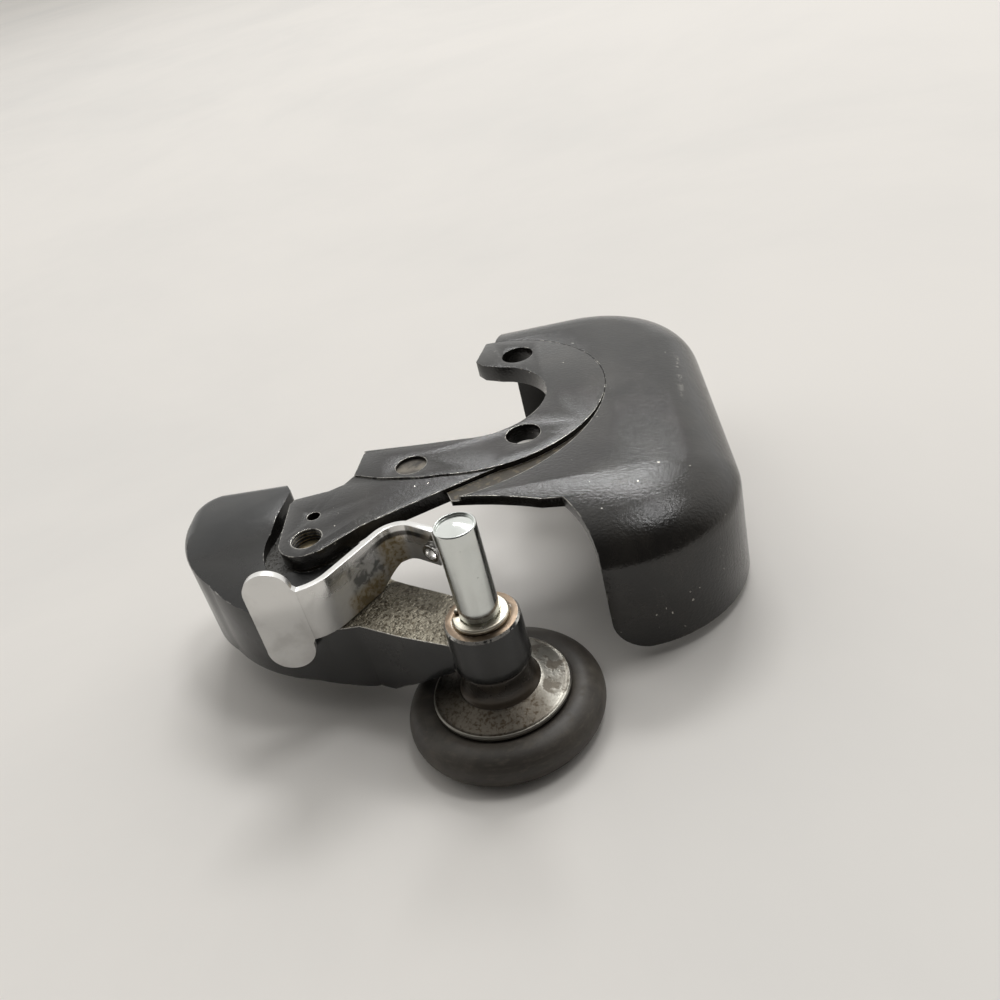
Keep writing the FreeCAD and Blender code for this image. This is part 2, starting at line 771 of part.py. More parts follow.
def wheel_hub():
    top, foot = "boss_bottom - part_gap", "flange_top - flange_drop - flange_thick"
    core_low = "tyre_top - tyre_width + 0.4 + flange_thick"
    pocket_top = "tyre_top - tyre_width + 0.8 + nut_thick + washer_thick"
    return turned("wheel_hub", [
        ("spindle_radius + seat_gap", top),
        ("hub_radius - 0.4", top),
        ("hub_radius", top + " - 0.4"),
        ("hub_radius", "flange_top + 2.6"),
        ("0.75*hub_radius + 0.25*hub_foot_radius", "flange_top + 1.1"),
        ("hub_foot_radius", "flange_top"),
        ("hub_foot_radius", foot + " - seat_gap"),
        ("wheel_core", foot + " - seat_gap"),
        ("wheel_core", core_low + " + seat_gap"),
        ("hub_foot_radius", core_low + " + seat_gap"),
        ("hub_foot_radius", core_low + " - flange_thick"),
        ("nut_pocket", core_low + " - flange_thick"),
        ("nut_pocket", pocket_top),
        ("spindle_radius + seat_gap", pocket_top),
    ])


def upper_flange():
    """Dished disc that slopes down from the hub to a thin rim."""
    rim_top, rim_low = "flange_top - flange_drop", "flange_top - flange_drop - flange_thick"
    return turned("upper_flange", [
        ("hub_foot_radius + seat_gap", "flange_top - 1.2*flange_thick"),
        ("wheel_core - 0.4", rim_low),
        ("flange_radius", rim_low),
        ("flange_radius", rim_top + " - 0.15"),
        ("flange_radius - 0.25", rim_top),
        ("hub_foot_radius + seat_gap", "flange_top"),
    ])


def lower_flange():
    low = "tyre_top - tyre_width + 0.4"
    high = low + " + flange_thick"
    inner, outer = "hub_foot_radius + seat_gap", "flange_radius"
    return turned("lower_flange", [(inner, low), (outer, low), (outer, high), (inner, high)])


def rubber_tyre():
    """Solid ring with a round tread in even bands, held between the two flanges."""
    low = "tyre_top - tyre_width"
    inner_low, inner_high = low + " + 0.45 + flange_thick", "tyre_top - 0.35"
    profile = [
        ("tyre_bore", inner_low),
        ("flange_radius + 0.25", inner_low),
        ("flange_radius + 0.4", low + " + 0.35"),
    ]
    for band in range(TREAD_BANDS + 1):
        angle = math.pi * band / TREAD_BANDS
        profile.append((
            "tyre_radius - 0.5*tyre_width + %.5f*tyre_width" % (0.5 * math.sin(angle)),
            low + " + %.5f*tyre_width" % (0.5 - 0.5 * math.cos(angle)),
        ))
    profile += [("flange_radius + 0.4", inner_high), ("tyre_bore", inner_high)]
    return turned("rubber_tyre", profile)


def wheel_washer():
    high = "tyre_top - tyre_width + 0.8 + nut_thick + washer_thick - seat_gap"
    low = "tyre_top - tyre_width + 0.8 + nut_thick + seat_gap"
    inner, outer = "spindle_radius + seat_gap", "nut_pocket - 0.3"
    return turned("wheel_washer", [(inner, low), (outer, low), (outer, high), (inner, high)])


def wheel_nut():
    low = "tyre_top - tyre_width + 0.8"
    made = new_body("wheel_nut", "spindle_x", "spindle_y")
    plan = new_sketch(made, "XY_Plane", low)
    corners = [on_ring("0.5774*nut_flats", 30 + 60 * side) for side in range(6)]
    draw_outline(plan, corners)
    draw_circle(plan, "spindle_radius + seat_gap")
    pad(made, plan, "nut_thick")
    return made


def latch_line():
    """Middle line of the latch's strip seen from above, as (point, heading) at each joint."""
    turn_to, tip_turn = number("latch_heading"), number("latch_tip_heading")
    first, second = number("latch_first_bend"), number("latch_second_bend")

    def way(angle):
        return Vector(math.cos(math.radians(angle)), math.sin(math.radians(angle)), 0)

    start = Vector(number("latch_start_x"), number("paddle_y"), 0)
    left_centre = start + way(90) * first
    bend_end = left_centre + way(turn_to - 90) * first
    run_end = bend_end + way(turn_to) * number("latch_run")
    right_centre = run_end + way(turn_to - 90) * second
    tip_start = right_centre + way(tip_turn + 90) * second
    tip = tip_start + way(tip_turn) * number("latch_tip_run")
    return {
        "start": start, "left_centre": left_centre, "bend_end": bend_end, "run_end": run_end,
        "right_centre": right_centre, "tip_start": tip_start, "tip": tip,
        "way": way(turn_to), "tip_way": way(tip_turn),
    }


def strip_side(line, offset):
    """One face of the latch's strip, offset to the left of its middle line."""
    left = Vector(-line["way"].y, line["way"].x, 0) * offset
    tip_left = Vector(-line["tip_way"].y, line["tip_way"].x, 0) * offset
    rise = Vector(0, offset, 0)
    start, bend_end = line["start"] + rise, line["bend_end"] + left
    run_end, tip_start = line["run_end"] + left, line["tip_start"] + tip_left
    first, second = line["left_centre"], line["right_centre"]
    bend_middle = first + ((start - first) + (bend_end - first)).normalize() * (start - first).Length
    crown = second + ((run_end - second) + (tip_start - second)).normalize() * (run_end - second).Length
    return [
        Part.Arc(start, bend_middle, bend_end).toShape(),
        Part.LineSegment(bend_end, run_end).toShape(),
        Part.Arc(run_end, crown, tip_start).toShape(),
        Part.LineSegment(tip_start, line["tip"] + tip_left).toShape(),
    ]


def stop_latch():
    """Bent strip with a thumb paddle at one end and a narrow finger at the other."""
    half = 0.5 * number("latch_sheet")
    line = latch_line()
    near, far = strip_side(line, -half), strip_side(line, half)
    near_tip, far_tip = near[-1].Vertexes[-1].Point, far[-1].Vertexes[-1].Point
    near_start, far_start = near[0].Vertexes[0].Point, far[0].Vertexes[0].Point
    ends = [
        Part.LineSegment(near_tip, far_tip).toShape(),
        Part.LineSegment(far_start, near_start).toShape(),
    ]
    plan = Part.Face(Part.Wire(Part.__sortEdges__(near + far + ends)))
    bottom, top = number("latch_bottom"), number("latch_top")
    plan.translate(Vector(0, 0, bottom))
    strip = plan.extrude(Vector(0, 0, top - bottom))

    finger_start = line["right_centre"].x - 0.25 * number("latch_second_bend")
    finger, front = number("finger_bottom"), number("spindle_y - latch_run")
    rise = finger - bottom
    steps = [(-1.2, -1), (-1.2, 0), (0, 0.85), (0.7, 1), (7, 1), (7, -1)]
    corners = [Vector(finger_start + along * rise, front, bottom + up * rise) for along, up in steps]
    under = Part.Face(Part.makePolygon(corners + corners[:1])).extrude(Vector(0, -front, 0))
    strip = strip.cut(under)

    left, right = number("paddle_left"), number("paddle_right")
    level = number("paddle_y") - half
    high, low = number("paddle_top"), number("paddle_bottom")
    middle = 0.5 * (left + right)

    def at(x, z):
        return Vector(x, level, z)

    edges = [
        Part.LineSegment(at(left, bottom - 0.6), at(left, top + 0.2)).toShape(),
        Part.Arc(at(left, top + 0.2), at(middle - 0.2, high), at(right, top + 0.6)).toShape(),
        Part.LineSegment(at(right, top + 0.6), at(right + 0.5, top)).toShape(),
        Part.LineSegment(at(right + 0.5, top), at(right + 0.5, bottom)).toShape(),
        Part.LineSegment(at(right + 0.5, bottom), at(right, bottom - 0.8)).toShape(),
        Part.Arc(at(right, bottom - 0.8), at(middle, low), at(left, bottom - 0.6)).toShape(),
    ]
    paddle = Part.Face(Part.Wire(edges)).extrude(Vector(0, 2 * half, 0))

    hub_top = number("latch_hub_top")
    hub_low = hub_top - number("latch_hub_thick")
    centre = Vector(number("latch_x"), number("latch_y"), hub_low)
    hub = Part.makeCylinder(number("latch_hub_radius"), hub_top - hub_low, centre)
    bore = Part.makeCylinder(number("latch_stud_radius + shaft_gap"), 20, centre - Vector(0, 0, 10))
    eyelet_place, eyelet_way = eyelet_seat(line)
    neck = number("eyelet_radius - eyelet_lip + seat_gap")
    hole = Part.makeCylinder(neck, 6 * half, eyelet_place - eyelet_way * 3 * half, eyelet_way)
    made = doc.addObject("Part::Feature", "stop_latch")
    made.Label = "stop_latch"
    made.Shape = strip.fuse([paddle, hub]).cut(bore).cut(hole).removeSplitter()
    parts.append(made)
    return made


def eyelet_seat(line):
    """Middle of the eyelet at the finger's tip and the way that it faces."""
    level = 0.5 * (number("finger_bottom") + number("latch_top")) - 0.8
    place = line["tip"] - line["tip_way"] * (number("eyelet_radius") - 0.6)
    return Vector(place.x, place.y, level), Vector(line["tip_way"].y, -line["tip_way"].x, 0)


def finger_eyelet():
    place, way = eyelet_seat(latch_line())
    half = 0.5 * number("latch_sheet")
    outer, bore = number("eyelet_radius"), number("eyelet_bore")
    front, lip, gap = number("eyelet_length"), number("eyelet_lip"), number("seat_gap")
    neck = Part.makeCylinder(outer - lip, 2 * half + front, place - way * (half + lip), way)
    head = Part.makeCylinder(outer, front - 2 * lip, place + way * (half + gap), way)
    back = Part.makeCylinder(outer, lip, place - way * (half + lip + gap), way)
    hole = Part.makeCylinder(bore, 6 * front, place - way * 3 * front, way)
    made = doc.addObject("Part::Feature", "finger_eyelet")
    made.Label = "finger_eyelet"
    made.Shape = neck.fuse([head, back]).cut(hole).removeSplitter()
    parts.append(made)
    return made


def latch_stud():
    low, head = "arm_top - 6.0", "latch_hub_top + part_gap"
    return turned("latch_stud", [
        ("0", low),
        ("latch_stud_radius", low),
        ("latch_stud_radius", head + " + latch_washer_thick"),
        ("1.3*latch_stud_radius", head + " + latch_washer_thick"),
        ("1.3*latch_stud_radius", head + " + latch_washer_thick + 0.5"),
        ("latch_stud_radius", head + " + latch_washer_thick + 0.9"),
        ("0", head + " + latch_washer_thick + 0.9"),
    ], "latch_x", "latch_y")


def latch_washer():
    low = "latch_hub_top + part_gap - seat_gap"
    high = "latch_hub_top + part_gap + latch_washer_thick - seat_gap"
    inner, outer = "latch_stud_radius + seat_gap", "1.35*latch_stud_radius"
    return turned("latch_washer", [(inner, low), (outer, low), (outer, high), (inner, high)],
                  "latch_x", "latch_y")


guard_bracket()
belt_shroud()
shroud_rivets()
blind_plug()
winder_frame()
pivot_screw()
pivot_washer()
bush("upper_bush", "boss_top - bush_length")
bush("lower_bush", "boss_bottom")
bobbin_spindle()
retaining_clip()
wheel_hub()
upper_flange()
lower_flange()
rubber_tyre()
wheel_washer()
wheel_nut()
stop_latch()
finger_eyelet()
latch_stud()
latch_washer()
doc.recompute()

for item in doc.Objects:
    if "Invalid" in item.State or "Error" in item.State:
        raise RuntimeError("%s failed: %s" % (item.Label, item.State))
os.makedirs("parts", exist_ok=True)
for item in parts:
    if item.Shape.isNull() or not item.Shape.isValid():
        raise RuntimeError("bad shape: " + item.Label)
    item.Shape.exportStep(os.path.join("parts", item.Label + ".step"))
    print(item.Label, len(item.Shape.Solids), round(item.Shape.Volume, 1))
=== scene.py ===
import bpy
import json
import math
from mathutils import Matrix, Vector

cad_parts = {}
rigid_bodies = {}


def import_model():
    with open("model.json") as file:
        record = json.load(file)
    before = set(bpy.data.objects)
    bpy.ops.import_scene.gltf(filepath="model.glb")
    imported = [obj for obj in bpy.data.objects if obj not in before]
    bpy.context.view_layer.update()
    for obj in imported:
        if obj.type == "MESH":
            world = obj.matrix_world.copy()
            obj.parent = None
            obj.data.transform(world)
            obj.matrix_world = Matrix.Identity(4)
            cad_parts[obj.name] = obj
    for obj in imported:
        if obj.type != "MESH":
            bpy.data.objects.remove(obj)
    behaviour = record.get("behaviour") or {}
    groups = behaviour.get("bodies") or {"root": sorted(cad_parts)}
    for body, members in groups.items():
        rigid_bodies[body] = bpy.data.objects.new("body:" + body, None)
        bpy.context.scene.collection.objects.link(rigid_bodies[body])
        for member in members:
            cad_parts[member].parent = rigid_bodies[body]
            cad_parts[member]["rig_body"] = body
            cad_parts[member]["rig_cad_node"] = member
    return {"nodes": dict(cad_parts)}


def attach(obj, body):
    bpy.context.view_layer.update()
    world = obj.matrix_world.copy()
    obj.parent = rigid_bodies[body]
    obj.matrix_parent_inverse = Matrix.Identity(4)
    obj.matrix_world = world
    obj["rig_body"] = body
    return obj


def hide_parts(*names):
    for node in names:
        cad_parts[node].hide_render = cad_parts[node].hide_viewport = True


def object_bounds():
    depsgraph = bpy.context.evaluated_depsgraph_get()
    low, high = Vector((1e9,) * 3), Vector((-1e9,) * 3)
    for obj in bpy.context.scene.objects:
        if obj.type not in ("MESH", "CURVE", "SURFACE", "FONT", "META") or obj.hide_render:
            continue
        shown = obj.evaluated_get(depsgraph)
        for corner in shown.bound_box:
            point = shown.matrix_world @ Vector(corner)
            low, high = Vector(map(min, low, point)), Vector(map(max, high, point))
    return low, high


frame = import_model()
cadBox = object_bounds()
mm = 0.001


# small helpers: selecting, copying a solid, turning a ring, finishing a piece

def pickOnly(piece):
    bpy.ops.object.select_all(action="DESELECT")
    piece.select_set(True)
    bpy.context.view_layer.objects.active = piece


def applyModifier(piece, kind, **values):
    pickOnly(piece)
    modifier = piece.modifiers.new(kind.lower(), kind)
    for name, value in values.items():
        setattr(modifier, name, value)
    bpy.ops.object.modifier_apply(modifier=modifier.name)


def smoothPiece(piece, degrees=32):
    pickOnly(piece)
    bpy.ops.object.shade_smooth_by_angle(angle=math.radians(degrees))


def copySolid(node, name, bevel=0.0, segments=3, degrees=32, reshape=None):
    # a merged copy of a CAD solid, with its sharp edges rounded over
    pickOnly(frame["nodes"][node])
    bpy.ops.object.duplicate()
    piece = bpy.context.view_layer.objects.active
    piece.parent = None
    piece.matrix_world = Matrix.Identity(4)
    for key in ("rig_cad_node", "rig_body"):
        if key in piece:
            del piece[key]
    piece.name = name
    piece.data.name = name
    piece.data.materials.clear()
    bpy.ops.object.mode_set(mode="EDIT")
    bpy.ops.mesh.select_all(action="SELECT")
    bpy.ops.mesh.remove_doubles(threshold=2e-6)
    if piece.data.has_custom_normals:
        bpy.ops.mesh.customdata_custom_splitnormals_clear()
    bpy.ops.mesh.dissolve_limited(angle_limit=math.radians(0.3))
    bpy.ops.mesh.select_all(action="DESELECT")
    bpy.ops.object.mode_set(mode="OBJECT")
    if reshape:
        reshape(piece)
    if bevel:
        applyModifier(piece, "BEVEL", width=bevel, segments=segments, limit_method="ANGLE",
                      angle_limit=math.radians(degrees), use_clamp_overlap=True, miter_outer="MITER_ARC")
    smoothPiece(piece, degrees)
    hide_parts(node)
    return piece


def turnPiece(name, profile, centre, closed=True, segments=144, degrees=30):
    # a round piece about an upright axis, grown ring by ring through (radius, level) pairs
    bpy.ops.object.select_all(action="DESELECT")
    first, level = profile[0]
    bpy.ops.mesh.primitive_circle_add(vertices=segments, radius=first, location=(centre[0], centre[1], level),
                                      fill_type="NOTHING" if closed else "NGON")
    piece = bpy.context.view_layer.objects.active
    bpy.ops.object.transform_apply(location=True, rotation=True, scale=True)
    piece.name = name
    piece.data.name = name
    bpy.ops.object.mode_set(mode="EDIT")
    bpy.ops.mesh.select_mode(type="EDGE" if closed else "FACE")
    bpy.ops.mesh.select_all(action="SELECT")
    steps = profile[1:] + profile[:1] if closed else profile[1:]
    radius = first
    for wide, high in steps:
        bpy.ops.mesh.extrude_region_move(TRANSFORM_OT_translate={"value": (0.0, 0.0, high - level)})
        if abs(wide - radius) > 1e-9:
            grow = wide / radius
            bpy.ops.transform.resize(value=(grow, grow, 1.0), center_override=(centre[0], centre[1], high))
        radius, level = wide, high
    bpy.ops.mesh.select_mode(type="VERT")
    bpy.ops.mesh.select_all(action="SELECT")
    bpy.ops.mesh.remove_doubles(threshold=1e-6)
    bpy.ops.mesh.normals_make_consistent(inside=False)
    bpy.ops.mesh.select_all(action="DESELECT")
    bpy.ops.object.mode_set(mode="OBJECT")
    smoothPiece(piece, degrees)
    return piece


def roundCorner(before, corner, after, reach, steps=4):
    # the points of an arc-like curve that takes off a profile's corner
    def toward(end):
        run = math.hypot(end[0] - corner[0], end[1] - corner[1])
        share = min(0.49, reach / run)
        return (corner[0] + share * (end[0] - corner[0]), corner[1] + share * (end[1] - corner[1]))
    start, stop = toward(before), toward(after)
    points = []
    for step in range(steps + 1):
        t = step / steps
        points.append(tuple((1 - t) ** 2 * start[axis] + 2 * t * (1 - t) * corner[axis] + t * t * stop[axis]
                            for axis in (0, 1)))
    return points


def softProfile(corners, closed=True):
    # a profile of (radius, level, rounding) corners in millimetres, as (radius, level) pairs in metres
    points = []
    for index, (radius, level, rounding) in enumerate(corners):
        ends = index in (0, len(corners) - 1)
        if rounding and (closed or not ends):
            before, after = corners[index - 1], corners[(index + 1) % len(corners)]
            points += roundCorner(before[:2], (radius, level), after[:2], rounding)
        else:
            points.append((radius, level))
    return [(radius * mm, level * mm) for radius, level in points]


def finishPiece(piece, body, material):
    piece.data.materials.clear()
    piece.data.materials.append(material)
    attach(piece, body)


def dressNode(node, material):
    target = frame["nodes"][node]
    smoothPiece(target)
    for slot in target.material_slots:
        slot.material = material
    if not target.material_slots:
        target.data.materials.append(material)


# small helpers: shader nodes

def addNode(tree, kind, inputs=None, **values):
    node = tree.nodes.new(kind)
    for name, value in values.items():
        setattr(node, name, value)
    for name, value in (inputs or {}).items():
        if isinstance(value, bpy.types.NodeSocket):
            tree.links.new(value, node.inputs[name])
        else:
            node.inputs[name].default_value = value
    return node


def mathNode(tree, operation, first, second=0.5, clamp=False):
    return addNode(tree, "ShaderNodeMath", inputs={0: first, 1: second},
                   operation=operation, use_clamp=clamp).outputs[0]


def plus(tree, first, second, clamp=False):
    return mathNode(tree, "ADD", first, second, clamp)


def times(tree, first, *others):
    for value in others:
        first = mathNode(tree, "MULTIPLY", first, value)
    return first


def most(tree, first, *others):
    for value in others:
        first = mathNode(tree, "MAXIMUM", first, value)
    return first


def ramp(tree, value, low, high, start=0.0, end=1.0):
    made = addNode(tree, "ShaderNodeMapRange", interpolation_type="SMOOTHSTEP", clamp=True, inputs={
        "Value": value, "From Min": low, "From Max": high, "To Min": start, "To Max": end})
    return made.outputs["Result"]


def within(tree, value, span):
    # rises over the first two of four levels in millimetres and falls over the last two
    start, full, last, end = (level * mm for level in span)
    return times(tree, ramp(tree, value, start, full), ramp(tree, value, end, last))


def mixColour(tree, factor, first, second):
    made = addNode(tree, "ShaderNodeMix", data_type="RGBA", blend_type="MIX", clamp_factor=True)
    for index, value in ((0, factor), (6, first), (7, second)):
        if isinstance(value, bpy.types.NodeSocket):
            tree.links.new(value, made.inputs[index])
        elif index and len(value) == 3:
            made.inputs[index].default_value = (*value, 1.0)
        else:
            made.inputs[index].default_value = value
    return made.outputs[2]


def newMaterial(name, **sockets):
    material = bpy.data.materials.new(name)
    material.use_nodes = True
    tree = material.node_tree
    shader = tree.nodes["Principled BSDF"]
    for key, value in sockets.items():
        shader.inputs[key.replace("_", " ")].default_value = value
    return material, tree, shader


def newGroup(name, inputs, outputs):
    tree = bpy.data.node_groups.new(name, "ShaderNodeTree")
    for label, kind, value in inputs:
        tree.interface.new_socket(label, in_out="INPUT", socket_type=kind).default_value = value
    for label, kind in outputs:
        tree.interface.new_socket(label, in_out="OUTPUT", socket_type=kind)
    source = tree.nodes.new("NodeGroupInput")
    target = tree.nodes.new("NodeGroupOutput")
    return tree, source.outputs, target.inputs


def useGroup(tree, group, **values):
    made = tree.nodes.new("ShaderNodeGroup")
    made.node_tree = group
    for name, value in values.items():
        socket = made.inputs[name.replace("_", " ")]
        if isinstance(value, bpy.types.NodeSocket):
            tree.links.new(value, socket)
        else:
            socket.default_value = value
    return made.outputs


def objectPlace(tree):
    coordinates = addNode(tree, "ShaderNodeTexCoord").outputs["Object"]
    split = addNode(tree, "ShaderNodeSeparateXYZ", inputs={"Vector": coordinates})
    return coordinates, split.outputs["X"], split.outputs["Y"], split.outputs["Z"]


def facingUp(tree):
    normal = addNode(tree, "ShaderNodeNewGeometry").outputs["Normal"]
    return addNode(tree, "ShaderNodeSeparateXYZ", inputs={"Vector": normal}).outputs["Z"]


def planDistance(tree, x, y, centre=(0.0, 0.0)):
    dx = mathNode(tree, "SUBTRACT", x, centre[0])
    dy = mathNode(tree, "SUBTRACT", y, centre[1])
    return mathNode(tree, "SQRT", plus(tree, times(tree, dx, dx), times(tree, dy, dy)))


def spotMask(tree, x, y, centre, reach):
    # 1 at a plan position, falling to 0 at its reach, all in metres
    return ramp(tree, planDistance(tree, x, y, centre), 0.0, reach, 1.0, 0.0)


def cutNoise(tree, place, breakup, amount, roughness, soft):
    # a noise cut off at a level that leaves the given amount of it, with a soft border
    grain = addNode(tree, "ShaderNodeTexNoise", inputs={
        "Vector": place, "Scale": breakup, "Detail": 5.0, "Roughness": roughness})
    level = mathNode(tree, "SUBTRACT", 1.0, amount)
    cut = addNode(tree, "ShaderNodeMapRange", interpolation_type="SMOOTHSTEP", inputs={
        "Value": grain.outputs["Fac"], "From Min": mathNode(tree, "SUBTRACT", level, soft),
        "From Max": plus(tree, level, soft)})
    return cut.outputs["Result"]


def bumpFrom(tree, shader, height, strength, distance, under=None):
    # dents the surface by a height mask, over another bump where one is given, and joins it to the shader
    inputs = {"Height": height, "Strength": strength, "Distance": distance}
    if under is not None:
        inputs["Normal"] = under
    bump = addNode(tree, "ShaderNodeBump", inputs=inputs)
    if shader:
        tree.links.new(bump.outputs["Normal"], shader.inputs["Normal"])
    return bump.outputs["Normal"]


def joinShader(tree, shader, **values):
    for name, value in values.items():
        tree.links.new(value, shader.inputs[name.replace("_", " ")])


# effects that several finishes share

def buildMottle():
    tree, given, out = newGroup("mottle", [
        ("Scale", "NodeSocketFloat", 60.0), ("Low", "NodeSocketFloat", 0.35),
        ("High", "NodeSocketFloat", 0.7)], [("Mask", "NodeSocketFloat")])
    place = addNode(tree, "ShaderNodeTexCoord").outputs["Object"]
    cloud = addNode(tree, "ShaderNodeTexNoise", inputs={
        "Vector": place, "Scale": given["Scale"], "Detail": 7.0, "Roughness": 0.62, "Distortion": 0.35})
    made = addNode(tree, "ShaderNodeMapRange", interpolation_type="SMOOTHSTEP", inputs={
        "Value": cloud.outputs["Fac"], "From Min": given["Low"], "From Max": given["High"]})
    tree.links.new(made.outputs["Result"], out["Mask"])
    return tree


def buildEdgeWear():
    tree, given, out = newGroup("edgeWear", [
        ("Reach", "NodeSocketFloat", 0.0004), ("Breakup", "NodeSocketFloat", 500.0),
        ("Amount", "NodeSocketFloat", 0.5)], [("Mask", "NodeSocketFloat")])
    rounded = addNode(tree, "ShaderNodeBevel", samples=6, inputs={"Radius": given["Reach"]})
    plain = addNode(tree, "ShaderNodeNewGeometry").outputs["Normal"]
    along = addNode(tree, "ShaderNodeVectorMath", operation="DOT_PRODUCT", inputs={
        0: rounded.outputs["Normal"], 1: plain})
    edge = ramp(tree, along.outputs["Value"], 0.995, 0.90)
    place = addNode(tree, "ShaderNodeTexCoord").outputs["Object"]
    cut = cutNoise(tree, place, given["Breakup"], given["Amount"], 0.7, 0.06)
    tree.links.new(times(tree, edge, cut), out["Mask"])
    return tree


def buildBrightEdge():
    # broken bright lines on the bevels of a flat piece, which lean between level and upright
    tree, given, out = newGroup("brightEdge", [
        ("Breakup", "NodeSocketFloat", 500.0), ("Amount", "NodeSocketFloat", 0.5)],
        [("Mask", "NodeSocketFloat")])
    facing = facingUp(tree)
    lean = times(tree, ramp(tree, facing, 0.30, 0.50), ramp(tree, facing, 0.96, 0.86))
    place = addNode(tree, "ShaderNodeTexCoord").outputs["Object"]
    cut = cutNoise(tree, place, given["Breakup"], given["Amount"], 0.75, 0.05)
    tree.links.new(times(tree, lean, cut), out["Mask"])
    return tree


def buildChips():
    tree, given, out = newGroup("chips", [
        ("Scale", "NodeSocketFloat", 900.0), ("Size", "NodeSocketFloat", 0.12),
        ("Where", "NodeSocketFloat", 1.0)], [("Mask", "NodeSocketFloat")])
    place = addNode(tree, "ShaderNodeTexCoord").outputs["Object"]
    bent = addNode(tree, "ShaderNodeTexNoise", inputs={"Vector": place, "Scale": 1400.0, "Detail": 2.0})
    shifted = addNode(tree, "ShaderNodeVectorMath", operation="MULTIPLY_ADD", inputs={
        0: bent.outputs["Color"], 1: (0.0009, 0.0009, 0.0009), 2: place})
    cells = addNode(tree, "ShaderNodeTexVoronoi", feature="F1", inputs={
        "Vector": shifted.outputs["Vector"], "Scale": given["Scale"], "Randomness": 1.0})
    keep = addNode(tree, "ShaderNodeSeparateColor", inputs={"Color": cells.outputs["Color"]})
    wanted = times(tree, keep.outputs["Red"], given["Size"])
    near = mathNode(tree, "LESS_THAN", cells.outputs["Distance"], wanted)
    tree.links.new(times(tree, near, given["Where"]), out["Mask"])
    return tree


def buildPeel():
    tree, given, out = newGroup("paintPeel", [
        ("Scale", "NodeSocketFloat", 420.0), ("Wave", "NodeSocketFloat", 1.0),
        ("Fine", "NodeSocketFloat", 0.25)], [("Height", "NodeSocketFloat")])
    place = addNode(tree, "ShaderNodeTexCoord").outputs["Object"]
    wave = addNode(tree, "ShaderNodeTexNoise", inputs={
        "Vector": place, "Scale": given["Scale"], "Detail": 2.0, "Roughness": 0.45})
    fine = addNode(tree, "ShaderNodeTexNoise", inputs={
        "Vector": place, "Scale": times(tree, given["Scale"], 5.0), "Detail": 4.0, "Roughness": 0.6})
    waves = times(tree, wave.outputs["Fac"], given["Wave"])
    tree.links.new(plus(tree, waves, times(tree, fine.outputs["Fac"], given["Fine"])), out["Height"])
    return tree


def buildCast():
    tree, given, out = newGroup("castGrain", [
        ("Scale", "NodeSocketFloat", 700.0)], [("Height", "NodeSocketFloat")])
    place = addNode(tree, "ShaderNodeTexCoord").outputs["Object"]
    rough = addNode(tree, "ShaderNodeTexNoise", inputs={
        "Vector": place, "Scale": given["Scale"], "Detail": 6.0, "Roughness": 0.68})
    pits = addNode(tree, "ShaderNodeTexVoronoi", feature="SMOOTH_F1", inputs={
        "Vector": place, "Scale": times(tree, given["Scale"], 1.6), "Smoothness": 0.6})
    pitMask = ramp(tree, pits.outputs["Distance"], 0.05, 0.45)
    tree.links.new(plus(tree, rough.outputs["Fac"], times(tree, pitMask, 0.6)), out["Height"])
    return tree


mottle = buildMottle()
edgeWear = buildEdgeWear()
brightEdge = buildBrightEdge()
chips = buildChips()
paintPeel = buildPeel()
castGrain = buildCast()
print("shared effects built")


# finishes

guardPaint = {
    "paint": (0.0080, 0.0072, 0.0064), "haze": (0.046, 0.041, 0.0345), "bare": (0.62, 0.60, 0.55),
    "groove": (0.16, 0.128, 0.080), "thread": (0.42, 0.34, 0.19), "roughness": 0.105, "peel": 0.15,
    "grooveRing": (22.7, 23.0, 30.4, 31.0), "grooveLevel": (-1.15, -0.95, -0.80, -0.60),
    "grooveFront": (1.0 * mm, -3.0 * mm), "wornFront": (-3.0 * mm, -8.0 * mm),
    "plateLevel": (-2.0 * mm, -1.2 * mm), "flatEdgeRing": (38.0 * mm, 36.0 * mm),
    "flatEdgeLevel": (-1.6 * mm, -1.2 * mm), "skirt": (-5.0 * mm, -9.0 * mm),
    "earHole": (-28.3 * mm, -32.6 * mm), "earWell": 3.3 * mm, "threadLevel": (-0.3 * mm, -0.5 * mm),
}


